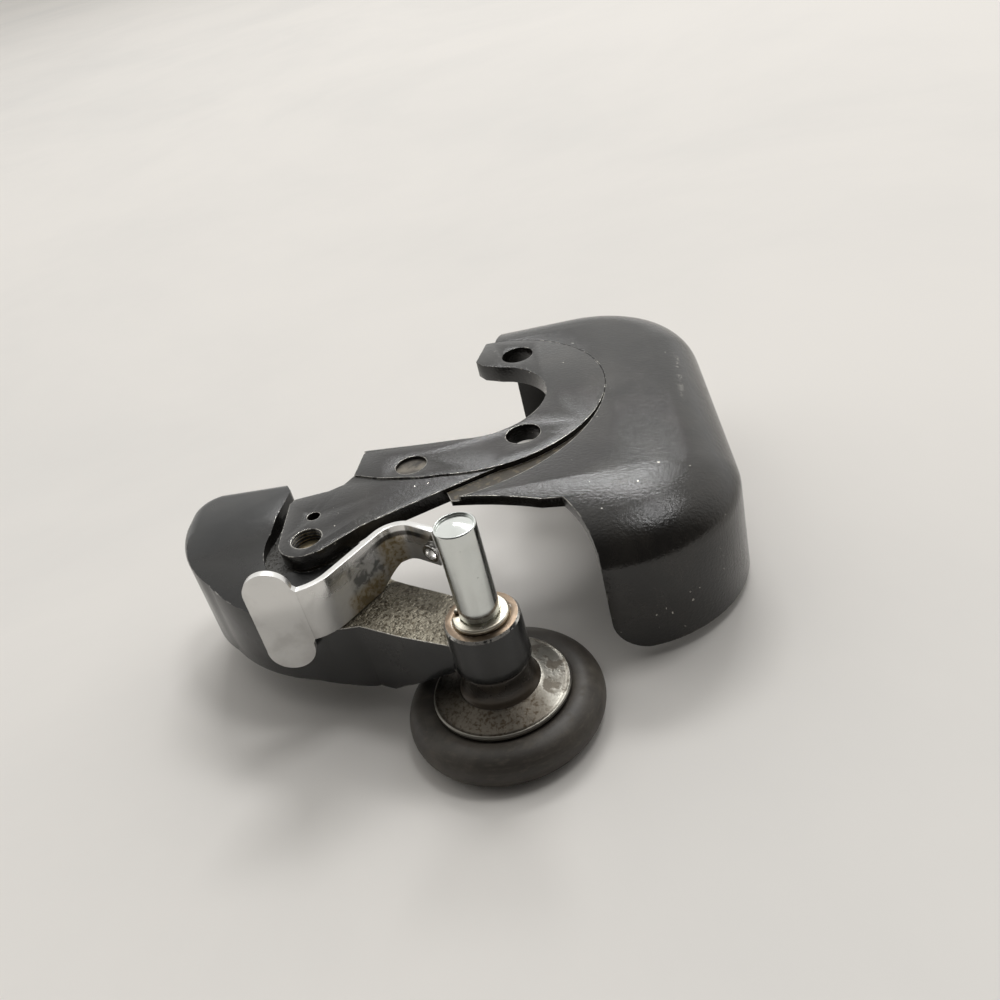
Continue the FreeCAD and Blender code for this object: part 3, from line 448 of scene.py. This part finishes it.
def makeGuardPaint():
    look = guardPaint
    material, tree, shader = newMaterial("guardPaint", Specular_IOR_Level=0.5)
    place, x, y, z = objectPlace(tree)
    facing = facingUp(tree)
    haze = useGroup(tree, mottle, Scale=70.0, Low=0.38, High=0.75)["Mask"]
    fine = useGroup(tree, mottle, Scale=900.0, Low=0.42, High=0.70)["Mask"]
    radius = planDistance(tree, x, y)
    front = times(tree, ramp(tree, y, *look["wornFront"]), ramp(tree, z, *look["plateLevel"]))
    # the groove round the bracket, and the thread in the ear's hole
    groove = times(tree, within(tree, z, look["grooveLevel"]), ramp(tree, facing, 0.75, 0.92),
                   within(tree, radius, look["grooveRing"]), ramp(tree, y, *look["grooveFront"]))
    well = times(tree, spotMask(tree, x, y, look["earHole"], look["earWell"]), ramp(tree, facing, 0.7, 0.4))
    thread = times(tree, ramp(tree, well, 0.02, 0.08), ramp(tree, z, *look["threadLevel"]))
    # bare metal at worn edges, chips on the skirt and pinholes all over
    worn = useGroup(tree, edgeWear, Reach=0.0003, Breakup=700.0,
                    Amount=plus(tree, 0.42, times(tree, front, 0.12)))["Mask"]
    flatWear = useGroup(tree, brightEdge, Breakup=520.0,
                        Amount=plus(tree, 0.40, times(tree, front, 0.12)))["Mask"]
    flatEdge = times(tree, ramp(tree, radius, *look["flatEdgeRing"]), ramp(tree, z, *look["flatEdgeLevel"]),
                     flatWear)
    patchy = useGroup(tree, mottle, Scale=150.0, Low=0.50, High=0.62)["Mask"]
    skirt = times(tree, ramp(tree, z, *look["skirt"]), patchy)
    specks = useGroup(tree, chips, Scale=700.0, Size=0.20, Where=skirt)["Mask"]
    pinholes = useGroup(tree, chips, Scale=480.0, Size=0.055, Where=1.0)["Mask"]
    bright = most(tree, worn, flatEdge, specks, pinholes)
    colour = mixColour(tree, times(tree, haze, 0.6), look["paint"], look["haze"])
    khaki = times(tree, groove, ramp(tree, fine, 0.2, 0.9, 0.25, 0.85))
    colour = mixColour(tree, khaki, colour, look["groove"])
    colour = mixColour(tree, times(tree, thread, 0.75), colour, look["thread"])
    colour = mixColour(tree, times(tree, bright, 0.85), colour, look["bare"])
    rough = plus(tree, look["roughness"], times(tree, haze, 0.07))
    rough = plus(tree, rough, times(tree, fine, 0.08))
    rough = plus(tree, rough, times(tree, groove, 0.35))
    metal = times(tree, most(tree, bright, thread), 0.8)
    joinShader(tree, shader, Base_Color=colour, Roughness=rough, Metallic=metal)
    peel = useGroup(tree, paintPeel, Scale=420.0, Wave=0.35, Fine=1.5)["Height"]
    height = mathNode(tree, "SUBTRACT", peel, times(tree, bright, 0.5))
    bumpFrom(tree, shader, height, look["peel"], 0.4 * mm)
    return material


castPaint = {
    "paint": (0.0075, 0.0082, 0.0088), "haze": (0.024, 0.0215, 0.018), "bare": (0.66, 0.64, 0.60),
    # floor: a painted shade colour for the recess floor under the ear
    "rawTop": (0.31, 0.285, 0.225), "rawDark": (0.085, 0.070, 0.048), "floor": (0.030, 0.027, 0.020),
    "bossTop": (0.20, 0.150, 0.108), "armLevel": (-8.1, -7.7, -7.3, -6.9),
    "armFrom": (-27.5 * mm, -26.0 * mm), "recessLevel": (-3.9, -3.6, -3.4, -3.1),
    "bossLevel": (-5.1 * mm, -4.9 * mm),
    "bossRim": (-5.2 * mm, -5.0 * mm), "pivot": (-28.3 * mm, -32.6 * mm), "pivotReach": 26.0 * mm,
    "boss": (-1.0 * mm, -53.8 * mm), "bossReach": 12.0 * mm,
}


def makeCastPaint():
    look = castPaint
    material, tree, shader = newMaterial("castPaint", Specular_IOR_Level=0.5)
    place, x, y, z = objectPlace(tree)
    facing = facingUp(tree)
    upward = ramp(tree, facing, 0.6, 0.85)
    armSide = times(tree, within(tree, z, look["armLevel"]), ramp(tree, x, *look["armFrom"]))
    armTop = times(tree, armSide, upward)
    nearPivot = ramp(tree, spotMask(tree, x, y, look["pivot"], look["pivotReach"]), 0.50, 0.62)
    # painted shade: the recess floor under the ear is coloured near black
    shadedRecess = times(tree, within(tree, z, look["recessLevel"]), ramp(tree, facing, 0.97, 0.99), nearPivot)
    nearBoss = ramp(tree, spotMask(tree, x, y, look["boss"], look["bossReach"]), 0.50, 0.53)
    bossTop = times(tree, nearBoss, upward, ramp(tree, z, *look["bossLevel"]))
    haze = useGroup(tree, mottle, Scale=75.0, Low=0.36, High=0.74)["Mask"]
    patch = useGroup(tree, mottle, Scale=420.0, Low=0.40, High=0.68)["Mask"]
    fine = useGroup(tree, mottle, Scale=1500.0, Low=0.40, High=0.66)["Mask"]
    colour = mixColour(tree, times(tree, haze, 0.6), look["paint"], look["haze"])
    # the arm's raw top, painted shade on the recess floor under the ear, and the boss's brown top
    raw = mixColour(tree, most(tree, times(tree, patch, 0.6), fine), look["rawTop"], look["rawDark"])
    colour = mixColour(tree, armTop, colour, raw)
    colour = mixColour(tree, times(tree, shadedRecess, 0.85), colour, look["floor"])
    bronze = mixColour(tree, times(tree, patch, 0.55), look["bossTop"], look["rawDark"])
    colour = mixColour(tree, bossTop, colour, bronze)
    # bare metal at worn edges
    worn = useGroup(tree, edgeWear, Reach=0.0003, Breakup=600.0,
                    Amount=plus(tree, 0.43, times(tree, armSide, 0.30)))["Mask"]
    armEdge = times(tree, armSide, useGroup(tree, brightEdge, Breakup=420.0, Amount=0.62)["Mask"])
    bossEdge = times(tree, ramp(tree, z, *look["bossRim"]), nearBoss,
                     useGroup(tree, brightEdge, Breakup=700.0, Amount=0.56)["Mask"])
    bright = most(tree, worn, armEdge, bossEdge)
    colour = mixColour(tree, times(tree, bright, 0.85), colour, look["bare"])
    bareTop = most(tree, armTop, shadedRecess)
    rough = plus(tree, 0.20, times(tree, haze, 0.10))
    rough = plus(tree, rough, times(tree, bareTop, 0.16))
    rough = plus(tree, rough, times(tree, bossTop, 0.12))
    metal = most(tree, times(tree, bright, 0.8), times(tree, armTop, 0.85), times(tree, bossTop, 0.9))
    joinShader(tree, shader, Base_Color=colour, Roughness=rough, Metallic=metal)
    peel = useGroup(tree, paintPeel, Scale=420.0, Fine=0.3)["Height"]
    smooth = bumpFrom(tree, None, peel, 0.12, 0.3 * mm)
    grain = useGroup(tree, castGrain, Scale=1100.0)["Height"]
    bumpFrom(tree, shader, times(tree, grain, bareTop), 0.6, 0.35 * mm, smooth)
    return material


pinPlating = {"plate": (0.64, 0.66, 0.64), "shade": (0.50, 0.51, 0.49), "pit": (0.08, 0.07, 0.06),
              "roughness": 0.10, "pitLevel": (8.0 * mm, -4.0 * mm)}


def makePinPlating():
    look = pinPlating
    material, tree, shader = newMaterial("pinPlating", Metallic=1.0)
    place, x, y, z = objectPlace(tree)
    turned = addNode(tree, "ShaderNodeMapping", inputs={"Vector": place, "Scale": (1.0, 1.0, 14.0)})
    streak = addNode(tree, "ShaderNodeTexNoise", inputs={
        "Vector": turned.outputs["Vector"], "Scale": 260.0, "Detail": 5.0, "Roughness": 0.6}).outputs["Fac"]
    cloud = useGroup(tree, mottle, Scale=330.0, Low=0.45, High=0.75)["Mask"]
    foot = ramp(tree, z, *look["pitLevel"], 0.5, 1.0)
    pits = useGroup(tree, chips, Scale=620.0, Size=0.10, Where=foot)["Mask"]
    colour = mixColour(tree, times(tree, cloud, 0.3), look["plate"], look["shade"])
    colour = mixColour(tree, times(tree, pits, 0.8), colour, look["pit"])
    rough = plus(tree, look["roughness"], times(tree, cloud, 0.10))
    rough = plus(tree, rough, times(tree, streak, 0.06))
    joinShader(tree, shader, Base_Color=colour, Roughness=rough)
    bumpFrom(tree, shader, streak, 0.06, 0.1 * mm)
    return material


latchSheet = {
    "plate": (0.68, 0.675, 0.66), "dull": (0.54, 0.53, 0.515), "paintedReflection": (0.045, 0.042, 0.040),
    "stain": (0.16, 0.115, 0.060), "yellow": (0.40, 0.30, 0.14), "darkGrey": (0.10, 0.10, 0.10),
    "paddle": (-22.5 * mm, -27.0 * mm), "stainTop": (1.3 * mm, 0.2 * mm),
    "greySpan": (-20.6, -19.8, -16.0, -14.4), "rustSpan": (-16.6, -15.0, -13.0, -11.4),
    "footSpan": (-21.6, -20.4, -17.0, -15.0),
    "footLevel": (-3.2 * mm, -5.0 * mm), "reflectionLevel": (0.0, 0.4, 0.95, 1.25),
    "reflectionSpan": (-17.6, -15.6, -9.6, -7.6), "metalLevel": (-2.5 * mm, 1.5 * mm),
    "dullLevel": (-3.5 * mm, 1.0 * mm),
}


def makeLatchSheet():
    look = latchSheet
    material, tree, shader = newMaterial("latchSheet", Metallic=1.0)
    place, x, y, z = objectPlace(tree)
    paddle = ramp(tree, x, *look["paddle"])
    cloud = useGroup(tree, mottle, Scale=190.0, Low=0.42, High=0.70)["Mask"]
    fine = useGroup(tree, mottle, Scale=1500.0, Low=0.40, High=0.66)["Mask"]
    blot = useGroup(tree, mottle, Scale=520.0, Low=0.42, High=0.60)["Mask"]
    # a dark grey mottled patch and rusty stains on the strip, and a painted reflection: the dark line under
    # its crown
    below = ramp(tree, z, *look["stainTop"])
    # a dark grey mottled patch below the crown
    greyed = times(tree, within(tree, x, look["greySpan"]), below, ramp(tree, blot, 0.0, 1.0, 0.25, 1.0))
    foot = times(tree, within(tree, x, look["footSpan"]), ramp(tree, z, *look["footLevel"]))
    rusty = times(tree, most(tree, times(tree, within(tree, x, look["rustSpan"]), below), foot),
                  ramp(tree, fine, 0.0, 1.0, 0.6, 1.0))
    # painted reflection: a dark band just under the crown stands in for the dark ear mirrored in the chrome
    shade = times(tree, within(tree, z, look["reflectionLevel"]), within(tree, x, look["reflectionSpan"]))
    colour = mixColour(tree, times(tree, cloud, 0.6), look["plate"], look["dull"])
    colour = mixColour(tree, times(tree, greyed, 0.85), colour, look["darkGrey"])
    colour = mixColour(tree, times(tree, rusty, 0.85), colour, look["yellow"])
    colour = mixColour(tree, times(tree, rusty, fine, 0.6), colour, look["stain"])
    colour = mixColour(tree, times(tree, shade, 0.9), colour, look["paintedReflection"])
    rough = plus(tree, ramp(tree, z, *look["dullLevel"], 0.38, 0.16), times(tree, paddle, 0.16))
    rough = plus(tree, rough, times(tree, cloud, 0.08))
    rough = plus(tree, rough, times(tree, most(tree, rusty, greyed), 0.14))
    joinShader(tree, shader, Base_Color=colour, Roughness=rough,
               Metallic=ramp(tree, z, *look["metalLevel"], 0.62, 1.0))
    grain = addNode(tree, "ShaderNodeTexNoise", inputs={
        "Vector": place, "Scale": 2600.0, "Detail": 3.0, "Roughness": 0.6})
    bumpFrom(tree, shader, grain.outputs["Fac"], 0.14, 0.08 * mm)
    return material


wheelLook = {
    "x": -1.0 * mm, "y": -53.8 * mm, "plate": (0.27, 0.26, 0.23), "brown": (0.050, 0.037, 0.024),
    "dark": (0.035, 0.030, 0.025), "rubber": (0.040, 0.034, 0.028), "dust": (0.125, 0.110, 0.088),
    "rimHighlightReach": 12.0 * mm, "brownerSide": (6.5 * mm, -1.0 * mm), "hubFoot": (-15.2 * mm, -17.0 * mm),
}


def makeFlangePlate():
    look = wheelLook
    material, tree, shader = newMaterial("flangePlate", Metallic=0.9)
    place, x, y, z = objectPlace(tree)
    # the plate is browner towards the left and the front and in patches of patina, and a painted highlight
    # keeps it bright at the rim
    # browner towards the left and the front
    side = plus(tree, mathNode(tree, "SUBTRACT", x, look["x"]),
                times(tree, mathNode(tree, "SUBTRACT", y, look["y"]), 0.35))
    # painted highlight: a bright ring at the rim, where the brown is held back
    rimHighlight = ramp(tree, spotMask(tree, x, y, (look["x"], look["y"]), look["rimHighlightReach"]), 0.068, 0.058)
    cloud = useGroup(tree, mottle, Scale=230.0, Low=0.36, High=0.62)["Mask"]
    patch = useGroup(tree, mottle, Scale=300.0, Low=0.46, High=0.56)["Mask"]
    fine = useGroup(tree, mottle, Scale=1700.0, Low=0.40, High=0.70)["Mask"]
    brownShare = plus(tree, ramp(tree, side, *look["brownerSide"]), times(tree, cloud, 0.6), True)
    brownShare = most(tree, times(tree, brownShare, ramp(tree, fine, 0.0, 1.0, 0.75, 1.0)), times(tree, patch, 0.75))
    brownShare = times(tree, brownShare, mathNode(tree, "SUBTRACT", 1.0, times(tree, rimHighlight, 0.8)))
    joinShader(tree, shader, Base_Color=mixColour(tree, brownShare, look["plate"], look["brown"]),
               Roughness=plus(tree, 0.30, times(tree, brownShare, 0.16)))
    grain = addNode(tree, "ShaderNodeTexNoise", inputs={
        "Vector": place, "Scale": 1500.0, "Detail": 4.0, "Roughness": 0.6})
    bumpFrom(tree, shader, plus(tree, grain.outputs["Fac"], times(tree, patch, 0.5)), 0.3, 0.10 * mm)
    return material


def makeHubMetal():
    look = wheelLook
    material, tree, shader = newMaterial("hubMetal", Metallic=0.6, Coat_Weight=0.3, Coat_Roughness=0.15)
    place, x, y, z = objectPlace(tree)
    cloud = useGroup(tree, mottle, Scale=260.0, Low=0.40, High=0.68)["Mask"]
    brown = plus(tree, ramp(tree, z, *look["hubFoot"]), times(tree, cloud, 0.5), True)
    joinShader(tree, shader, Base_Color=mixColour(tree, brown, look["dark"], look["brown"]),
               Roughness=plus(tree, 0.25, times(tree, brown, 0.2)))
    bumpFrom(tree, shader, useGroup(tree, paintPeel, Scale=600.0, Fine=0.5)["Height"], 0.12, 0.15 * mm)
    return material


def makeTyreRubber():
    look = wheelLook
    material, tree, shader = newMaterial("tyreRubber", Specular_IOR_Level=0.45)
    place = addNode(tree, "ShaderNodeTexCoord").outputs["Object"]
    dust = useGroup(tree, mottle, Scale=95.0, Low=0.40, High=0.72)["Mask"]
    spot = useGroup(tree, mottle, Scale=520.0, Low=0.48, High=0.66)["Mask"]
    # rub marks that run round the tread
    drawn = addNode(tree, "ShaderNodeMapping", inputs={"Vector": place, "Scale": (1.0, 1.0, 5.0)})
    rub = addNode(tree, "ShaderNodeTexNoise", inputs={
        "Vector": drawn.outputs["Vector"], "Scale": 420.0, "Detail": 6.0, "Roughness": 0.65}).outputs["Fac"]
    rubMask = ramp(tree, rub, 0.50, 0.68)
    colour = mixColour(tree, times(tree, dust, 0.6), look["rubber"], look["dust"])
    colour = mixColour(tree, times(tree, rubMask, 0.4), colour, look["dust"])
    colour = mixColour(tree, times(tree, spot, 0.35), colour, look["rubber"])
    joinShader(tree, shader, Base_Color=colour, Roughness=plus(tree, 0.50, times(tree, rubMask, 0.18)))
    bumpFrom(tree, shader, rub, 0.25, 0.12 * mm)
    return material


def makeSmallMetal(name, light, dark, roughness, metallic=1.0, scale=420.0):
    material, tree, shader = newMaterial(name, Metallic=metallic)
    cloud = useGroup(tree, mottle, Scale=scale, Low=0.38, High=0.7)["Mask"]
    joinShader(tree, shader, Base_Color=mixColour(tree, cloud, light, dark),
               Roughness=plus(tree, roughness, times(tree, cloud, 0.15)))
    peel = useGroup(tree, paintPeel, Scale=scale * 4.0, Fine=0.5)["Height"]
    bumpFrom(tree, shader, peel, 0.12, 0.08 * mm)
    return material


finishes = {
    "guardPaint": makeGuardPaint(),
    "castPaint": makeCastPaint(),
    "pinPlating": makePinPlating(),
    "latchSheet": makeLatchSheet(),
    "flangePlate": makeFlangePlate(),
    "hubMetal": makeHubMetal(),
    "tyreRubber": makeTyreRubber(),
    "bushBronze": makeSmallMetal("bushBronze", (0.21, 0.155, 0.10), (0.08, 0.055, 0.035), 0.34),
    "clipSteel": makeSmallMetal("clipSteel", (0.80, 0.76, 0.66), (0.52, 0.47, 0.38), 0.24),
    "screwSteel": makeSmallMetal("screwSteel", (0.42, 0.36, 0.24), (0.10, 0.07, 0.04), 0.35),
    "plugIron": makeSmallMetal("plugIron", (0.16, 0.14, 0.11), (0.05, 0.045, 0.04), 0.45, 0.4),
    "eyeletNickel": makeSmallMetal("eyeletNickel", (0.66, 0.65, 0.63), (0.50, 0.49, 0.47), 0.14),
}
print("finishes built:", len(finishes))


# pieces

guardSizes = {
    "plateRound": 0.28 * mm, "shellRound": 0.35 * mm, "right": 40.8, "front": -46.2, "back": 32.0,
    "frontCorner": 20.0, "backCorner": 22.0, "round": 8.0, "roundRun": 17.0,
    "fadeTop": -5.0, "fadeEnd": -13.0, "wideFrom": 14.0, "wideTo": -12.0,
}


def depthInside(x, y):
    # distance in from the shell's outer wall, in millimetres, for a plan position
    look = guardSizes
    front, back = look["frontCorner"], look["backCorner"]
    pastRight = x - look["right"]
    fromFront = front - math.hypot(max(pastRight + front, 0.0), max(look["front"] + front - y, 0.0))
    fromBack = back - math.hypot(max(pastRight + back, 0.0), max(y - look["back"] + back, 0.0))
    return max(0.0, min(fromFront, fromBack))


def easeShell(piece):
    # the pressed shell's top edge rolls over further than it drops: the round becomes a flatter oval
    look = guardSizes
    drop, widest = look["round"], look["roundRun"]
    pickOnly(piece)
    bpy.ops.object.mode_set(mode="EDIT")
    cuts = [drop + step for step in range(int(widest - drop) + 1)]
    planes = [((look["right"] - cut) * mm, 0) for cut in cuts]
    planes += [((look["front"] + cut) * mm, 1) for cut in cuts]
    planes += [((look["back"] - cut) * mm, 1) for cut in cuts]
    for place, axis in planes:
        bpy.ops.mesh.select_all(action="SELECT")
        normal = (1.0, 0.0, 0.0) if axis == 0 else (0.0, 1.0, 0.0)
        bpy.ops.mesh.bisect(plane_co=tuple(place * part for part in normal), plane_no=normal)
    bpy.ops.object.mode_set(mode="OBJECT")
    for vertex in piece.data.vertices:
        x, y, z = (value / mm for value in vertex.co)
        wide = min(1.0, max(0.0, (look["wideFrom"] - y) / (look["wideFrom"] - look["wideTo"])))
        run = drop + (widest - drop) * wide * wide * (3.0 - 2.0 * wide)
        inside = min(depthInside(x, y), run)
        oval = drop * math.sqrt(max(0.0, 1.0 - ((run - inside) / run) ** 2))
        plain = math.sqrt(drop ** 2 - max(drop - inside, 0.0) ** 2)
        share = min(1.0, max(0.0, (z - look["fadeEnd"]) / (look["fadeTop"] - look["fadeEnd"])))
        vertex.co.z += (oval - plain) * share * mm


bracketPlate = copySolid("guard_bracket", "bracketPlate", guardSizes["plateRound"])
finishPiece(bracketPlate, "guard", finishes["guardPaint"])
guardShell = copySolid("belt_shroud", "guardShell", guardSizes["shellRound"], reshape=easeShell)
finishPiece(guardShell, "guard", finishes["guardPaint"])
print("guard done")

castSizes = {"edgeRound": 0.4 * mm}
frameCasting = copySolid("winder_frame", "frameCasting", castSizes["edgeRound"])
finishPiece(frameCasting, "frame", finishes["castPaint"])
print("casting done")

latchSizes = {"edgeRound": 0.16 * mm}
latchStrip = copySolid("stop_latch", "latchStrip", latchSizes["edgeRound"])
finishPiece(latchStrip, "latch", finishes["latchSheet"])
eyeletSizes = {
    "heading": -38.0, "segments": 72,
    "ring": [(1.0, -0.8, 0.15), (1.0, 0.8, 0.15), (1.55, 0.8, 0.1), (1.55, 0.5, 0.08), (1.28, 0.5, 0),
             (1.28, -0.5, 0), (1.55, -0.5, 0.08), (1.55, -0.8, 0.1)],
}


def makeEyelet():
    # turned upright, laid along the level direction across the latch's tip, and set at the solid's middle
    solid = frame["nodes"]["finger_eyelet"]
    corners = [solid.matrix_world @ Vector(corner) for corner in solid.bound_box]
    piece = turnPiece("eyeletRing", softProfile(eyeletSizes["ring"]), (0.0, 0.0),
                      segments=eyeletSizes["segments"])
    piece.rotation_euler = (math.radians(-90.0), 0.0, math.radians(eyeletSizes["heading"]))
    piece.location = sum(corners, Vector()) / len(corners)
    pickOnly(piece)
    bpy.ops.object.transform_apply(location=True, rotation=True, scale=True)
    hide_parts("finger_eyelet")
    return piece


eyeletRing = makeEyelet()
finishPiece(eyeletRing, "latch", finishes["eyeletNickel"])
print("latch done")

wheelSizes = {
    "x": -1.0 * mm, "y": -53.8 * mm,
    "pin": [(0.05, -24.5, 0), (3.0, -24.5, 0.3), (3.0, -4.4, 0), (2.6, -4.4, 0), (2.6, -3.3, 0),
            (3.0, -3.3, 0.06), (3.0, 11.6, 0.15), (2.86, 11.74, 0.05), (2.72, 11.74, 0.05),
            (2.62, 11.4, 0.05), (2.5, 11.45, 0.05), (0.8, 12.0, 0.4), (0.02, 12.1, 0)],
    "hub": [(3.04, -12.6, 0), (4.95, -12.6, 0.15), (5.3, -12.95, 0.15), (5.3, -14.6, 0.8), (5.62, -16.3, 0.8),
            (6.1, -17.0, 0.1), (6.1, -18.92, 0), (9.35, -18.92, 0), (9.35, -23.78, 0), (6.1, -23.78, 0),
            (6.1, -24.58, 0.1), (5.1, -24.58, 0.1), (5.1, -21.3, 0), (3.04, -21.3, 0)],
    "flange": [(6.13, -17.98, 0), (8.95, -18.9, 0), (10.3, -18.9, 0.08), (10.45, -18.75, 0.05),
               (10.45, -18.3, 0.12), (10.2, -18.12, 0.12), (9.75, -18.16, 0.2), (8.2, -17.72, 1.2),
               (6.5, -17.12, 0.2), (6.13, -17.02, 0.05)],
    "tyreRadius": 15.0, "tyreSection": 3.1, "tyreTop": -18.8, "tyreBore": 9.42, "tyreSteps": 44,
    "tyreShoulder": 1.0, "tyreFoot": 2.4, "clipEdge": 0.08 * mm, "discEdge": 0.12 * mm,
}
wheelAxis = (wheelSizes["x"], wheelSizes["y"])


def tyreProfile():
    look = wheelSizes
    section, bore = look["tyreSection"], look["tyreBore"]
    middle, level = look["tyreRadius"] - section, look["tyreTop"] - section
    shoulder = math.acos((bore + look["tyreShoulder"] - middle) / section)
    points = [(bore, level - look["tyreFoot"])]
    for step in range(look["tyreSteps"] + 1):
        angle = -shoulder + 2.0 * shoulder * step / look["tyreSteps"]
        points.append((middle + section * math.cos(angle), level + section * math.sin(angle)))
    points.append((bore, level + look["tyreFoot"]))
    return [(radius * mm, height * mm) for radius, height in points]


spindlePin = turnPiece("spindlePin", softProfile(wheelSizes["pin"], False), wheelAxis, closed=False)
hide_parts("bobbin_spindle")
finishPiece(spindlePin, "spindle", finishes["pinPlating"])
clipRing = copySolid("retaining_clip", "clipRing", wheelSizes["clipEdge"])
finishPiece(clipRing, "spindle", finishes["clipSteel"])
hubBody = turnPiece("hubBody", softProfile(wheelSizes["hub"]), wheelAxis)
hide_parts("wheel_hub")
finishPiece(hubBody, "spindle", finishes["hubMetal"])
flangeDisc = turnPiece("flangeDisc", softProfile(wheelSizes["flange"]), wheelAxis)
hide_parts("upper_flange")
finishPiece(flangeDisc, "spindle", finishes["flangePlate"])
lowerDisc = copySolid("lower_flange", "lowerDisc", wheelSizes["discEdge"])
finishPiece(lowerDisc, "spindle", finishes["flangePlate"])
tyreRing = turnPiece("tyreRing", tyreProfile(), wheelAxis, segments=180)
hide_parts("rubber_tyre")
finishPiece(tyreRing, "spindle", finishes["tyreRubber"])
print("wheel done")

for finish, nodes in (("screwSteel", ("shroud_rivets", "pivot_screw", "pivot_washer", "latch_stud",
                                      "latch_washer", "wheel_washer", "wheel_nut")),
                      ("plugIron", ("blind_plug",)), ("bushBronze", ("upper_bush", "lower_bush"))):
    for node in nodes:
        dressNode(node, finishes[finish])
print("small parts dressed")


# camera, floor and light

viewpoint = {"film": 36.0, "zoom": 1.048, "tilt": 33.69, "roll": 14.91, "turn": 7.22,
             "stand": (-1.0 * mm, -167.8 * mm), "height": 90.0 * mm, "near": 0.005, "far": 20.0}


def placeCamera():
    look = viewpoint
    tilt, roll = math.radians(look["tilt"]), math.radians(look["roll"])
    ahead = Vector((0.0, math.cos(tilt), -math.sin(tilt)))
    upward = Vector((0.0, math.sin(tilt), math.cos(tilt)))
    right = Vector((1.0, 0.0, 0.0))
    turn = Matrix.Rotation(math.radians(look["turn"]), 3, "Z")
    axisX = turn @ (right * math.cos(roll) - upward * math.sin(roll))
    axisY = turn @ (right * math.sin(roll) + upward * math.cos(roll))
    axisZ = turn @ -ahead
    position = turn @ Vector((look["stand"][0], look["stand"][1], look["height"]))
    data = bpy.data.cameras.new("photoCamera")
    data.lens = look["zoom"] * look["film"]
    data.sensor_width = look["film"]
    data.clip_start, data.clip_end = look["near"], look["far"]
    camera = bpy.data.objects.new("photoCamera", data)
    bpy.context.scene.collection.objects.link(camera)
    camera.matrix_world = Matrix((
        (axisX.x, axisY.x, axisZ.x, position.x),
        (axisX.y, axisY.y, axisZ.y, position.y),
        (axisX.z, axisY.z, axisZ.z, position.z),
        (0.0, 0.0, 0.0, 1.0)))
    bpy.context.scene.camera = camera


placeCamera()

floorLook = {"size": 40.0, "gap": 0.02 * mm, "colour": (0.80, 0.772, 0.735), "shade": (0.74, 0.72, 0.69)}


def makeFloor():
    low = min(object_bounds()[0][2], cadBox[0][2])
    bpy.ops.object.select_all(action="DESELECT")
    bpy.ops.mesh.primitive_plane_add(size=floorLook["size"], location=(0.0, 0.0, low - floorLook["gap"]))
    floor = bpy.context.view_layer.objects.active
    floor.name = "floorSheet"
    material, tree, shader = newMaterial("floorCloth", Roughness=0.95, Specular_IOR_Level=0.1)
    cloud = useGroup(tree, mottle, Scale=5.0, Low=0.35, High=0.75)["Mask"]
    joinShader(tree, shader, Base_Color=mixColour(tree, cloud, floorLook["colour"], floorLook["shade"]))
    floor.data.materials.append(material)


makeFloor()

lampLook = {
    "bright": (1.12, 1.11, 1.08), "dark": (0.09, 0.087, 0.084), "split": (-0.34, 0.40),
    "panelPlace": (0.131, 0.936, 1.126), "panelSize": (0.66, 0.22), "panelPower": 6.8,
    "sidePlace": (0.315, 0.115, 0.92), "sideSize": (0.24, 0.20), "sidePower": 1.5,
    "panelAim": (0.0, -0.01, -0.01), "sideAim": (0.02, -0.03, -0.01),
}


def addLamp(name, place, target, size, power):
    data = bpy.data.lights.new(name, "AREA")
    data.shape = "RECTANGLE"
    data.size, data.size_y = size
    data.energy = power
    lamp = bpy.data.objects.new(name, data)
    bpy.context.scene.collection.objects.link(lamp)
    lamp.location = place
    lamp.rotation_euler = (Vector(target) - Vector(place)).to_track_quat("-Z", "Y").to_euler()


def makeLight():
    # a room that is bright behind the object and dark behind the camera, with two soft panels above
    look = lampLook
    world = bpy.data.worlds.new("softRoom")
    bpy.context.scene.world = world
    world.use_nodes = True
    tree = world.node_tree
    way = addNode(tree, "ShaderNodeTexCoord").outputs["Generated"]
    along = addNode(tree, "ShaderNodeSeparateXYZ", inputs={"Vector": way}).outputs["Y"]
    colour = mixColour(tree, ramp(tree, along, *look["split"]), look["dark"], look["bright"])
    back = tree.nodes["Background"]
    tree.links.new(colour, back.inputs["Color"])
    addLamp("keyPanel", look["panelPlace"], look["panelAim"], look["panelSize"], look["panelPower"])
    addLamp("sidePanel", look["sidePlace"], look["sideAim"], look["sideSize"], look["sidePower"])


makeLight()
bpy.context.scene.view_settings.view_transform = "Standard"
print("scene ready")
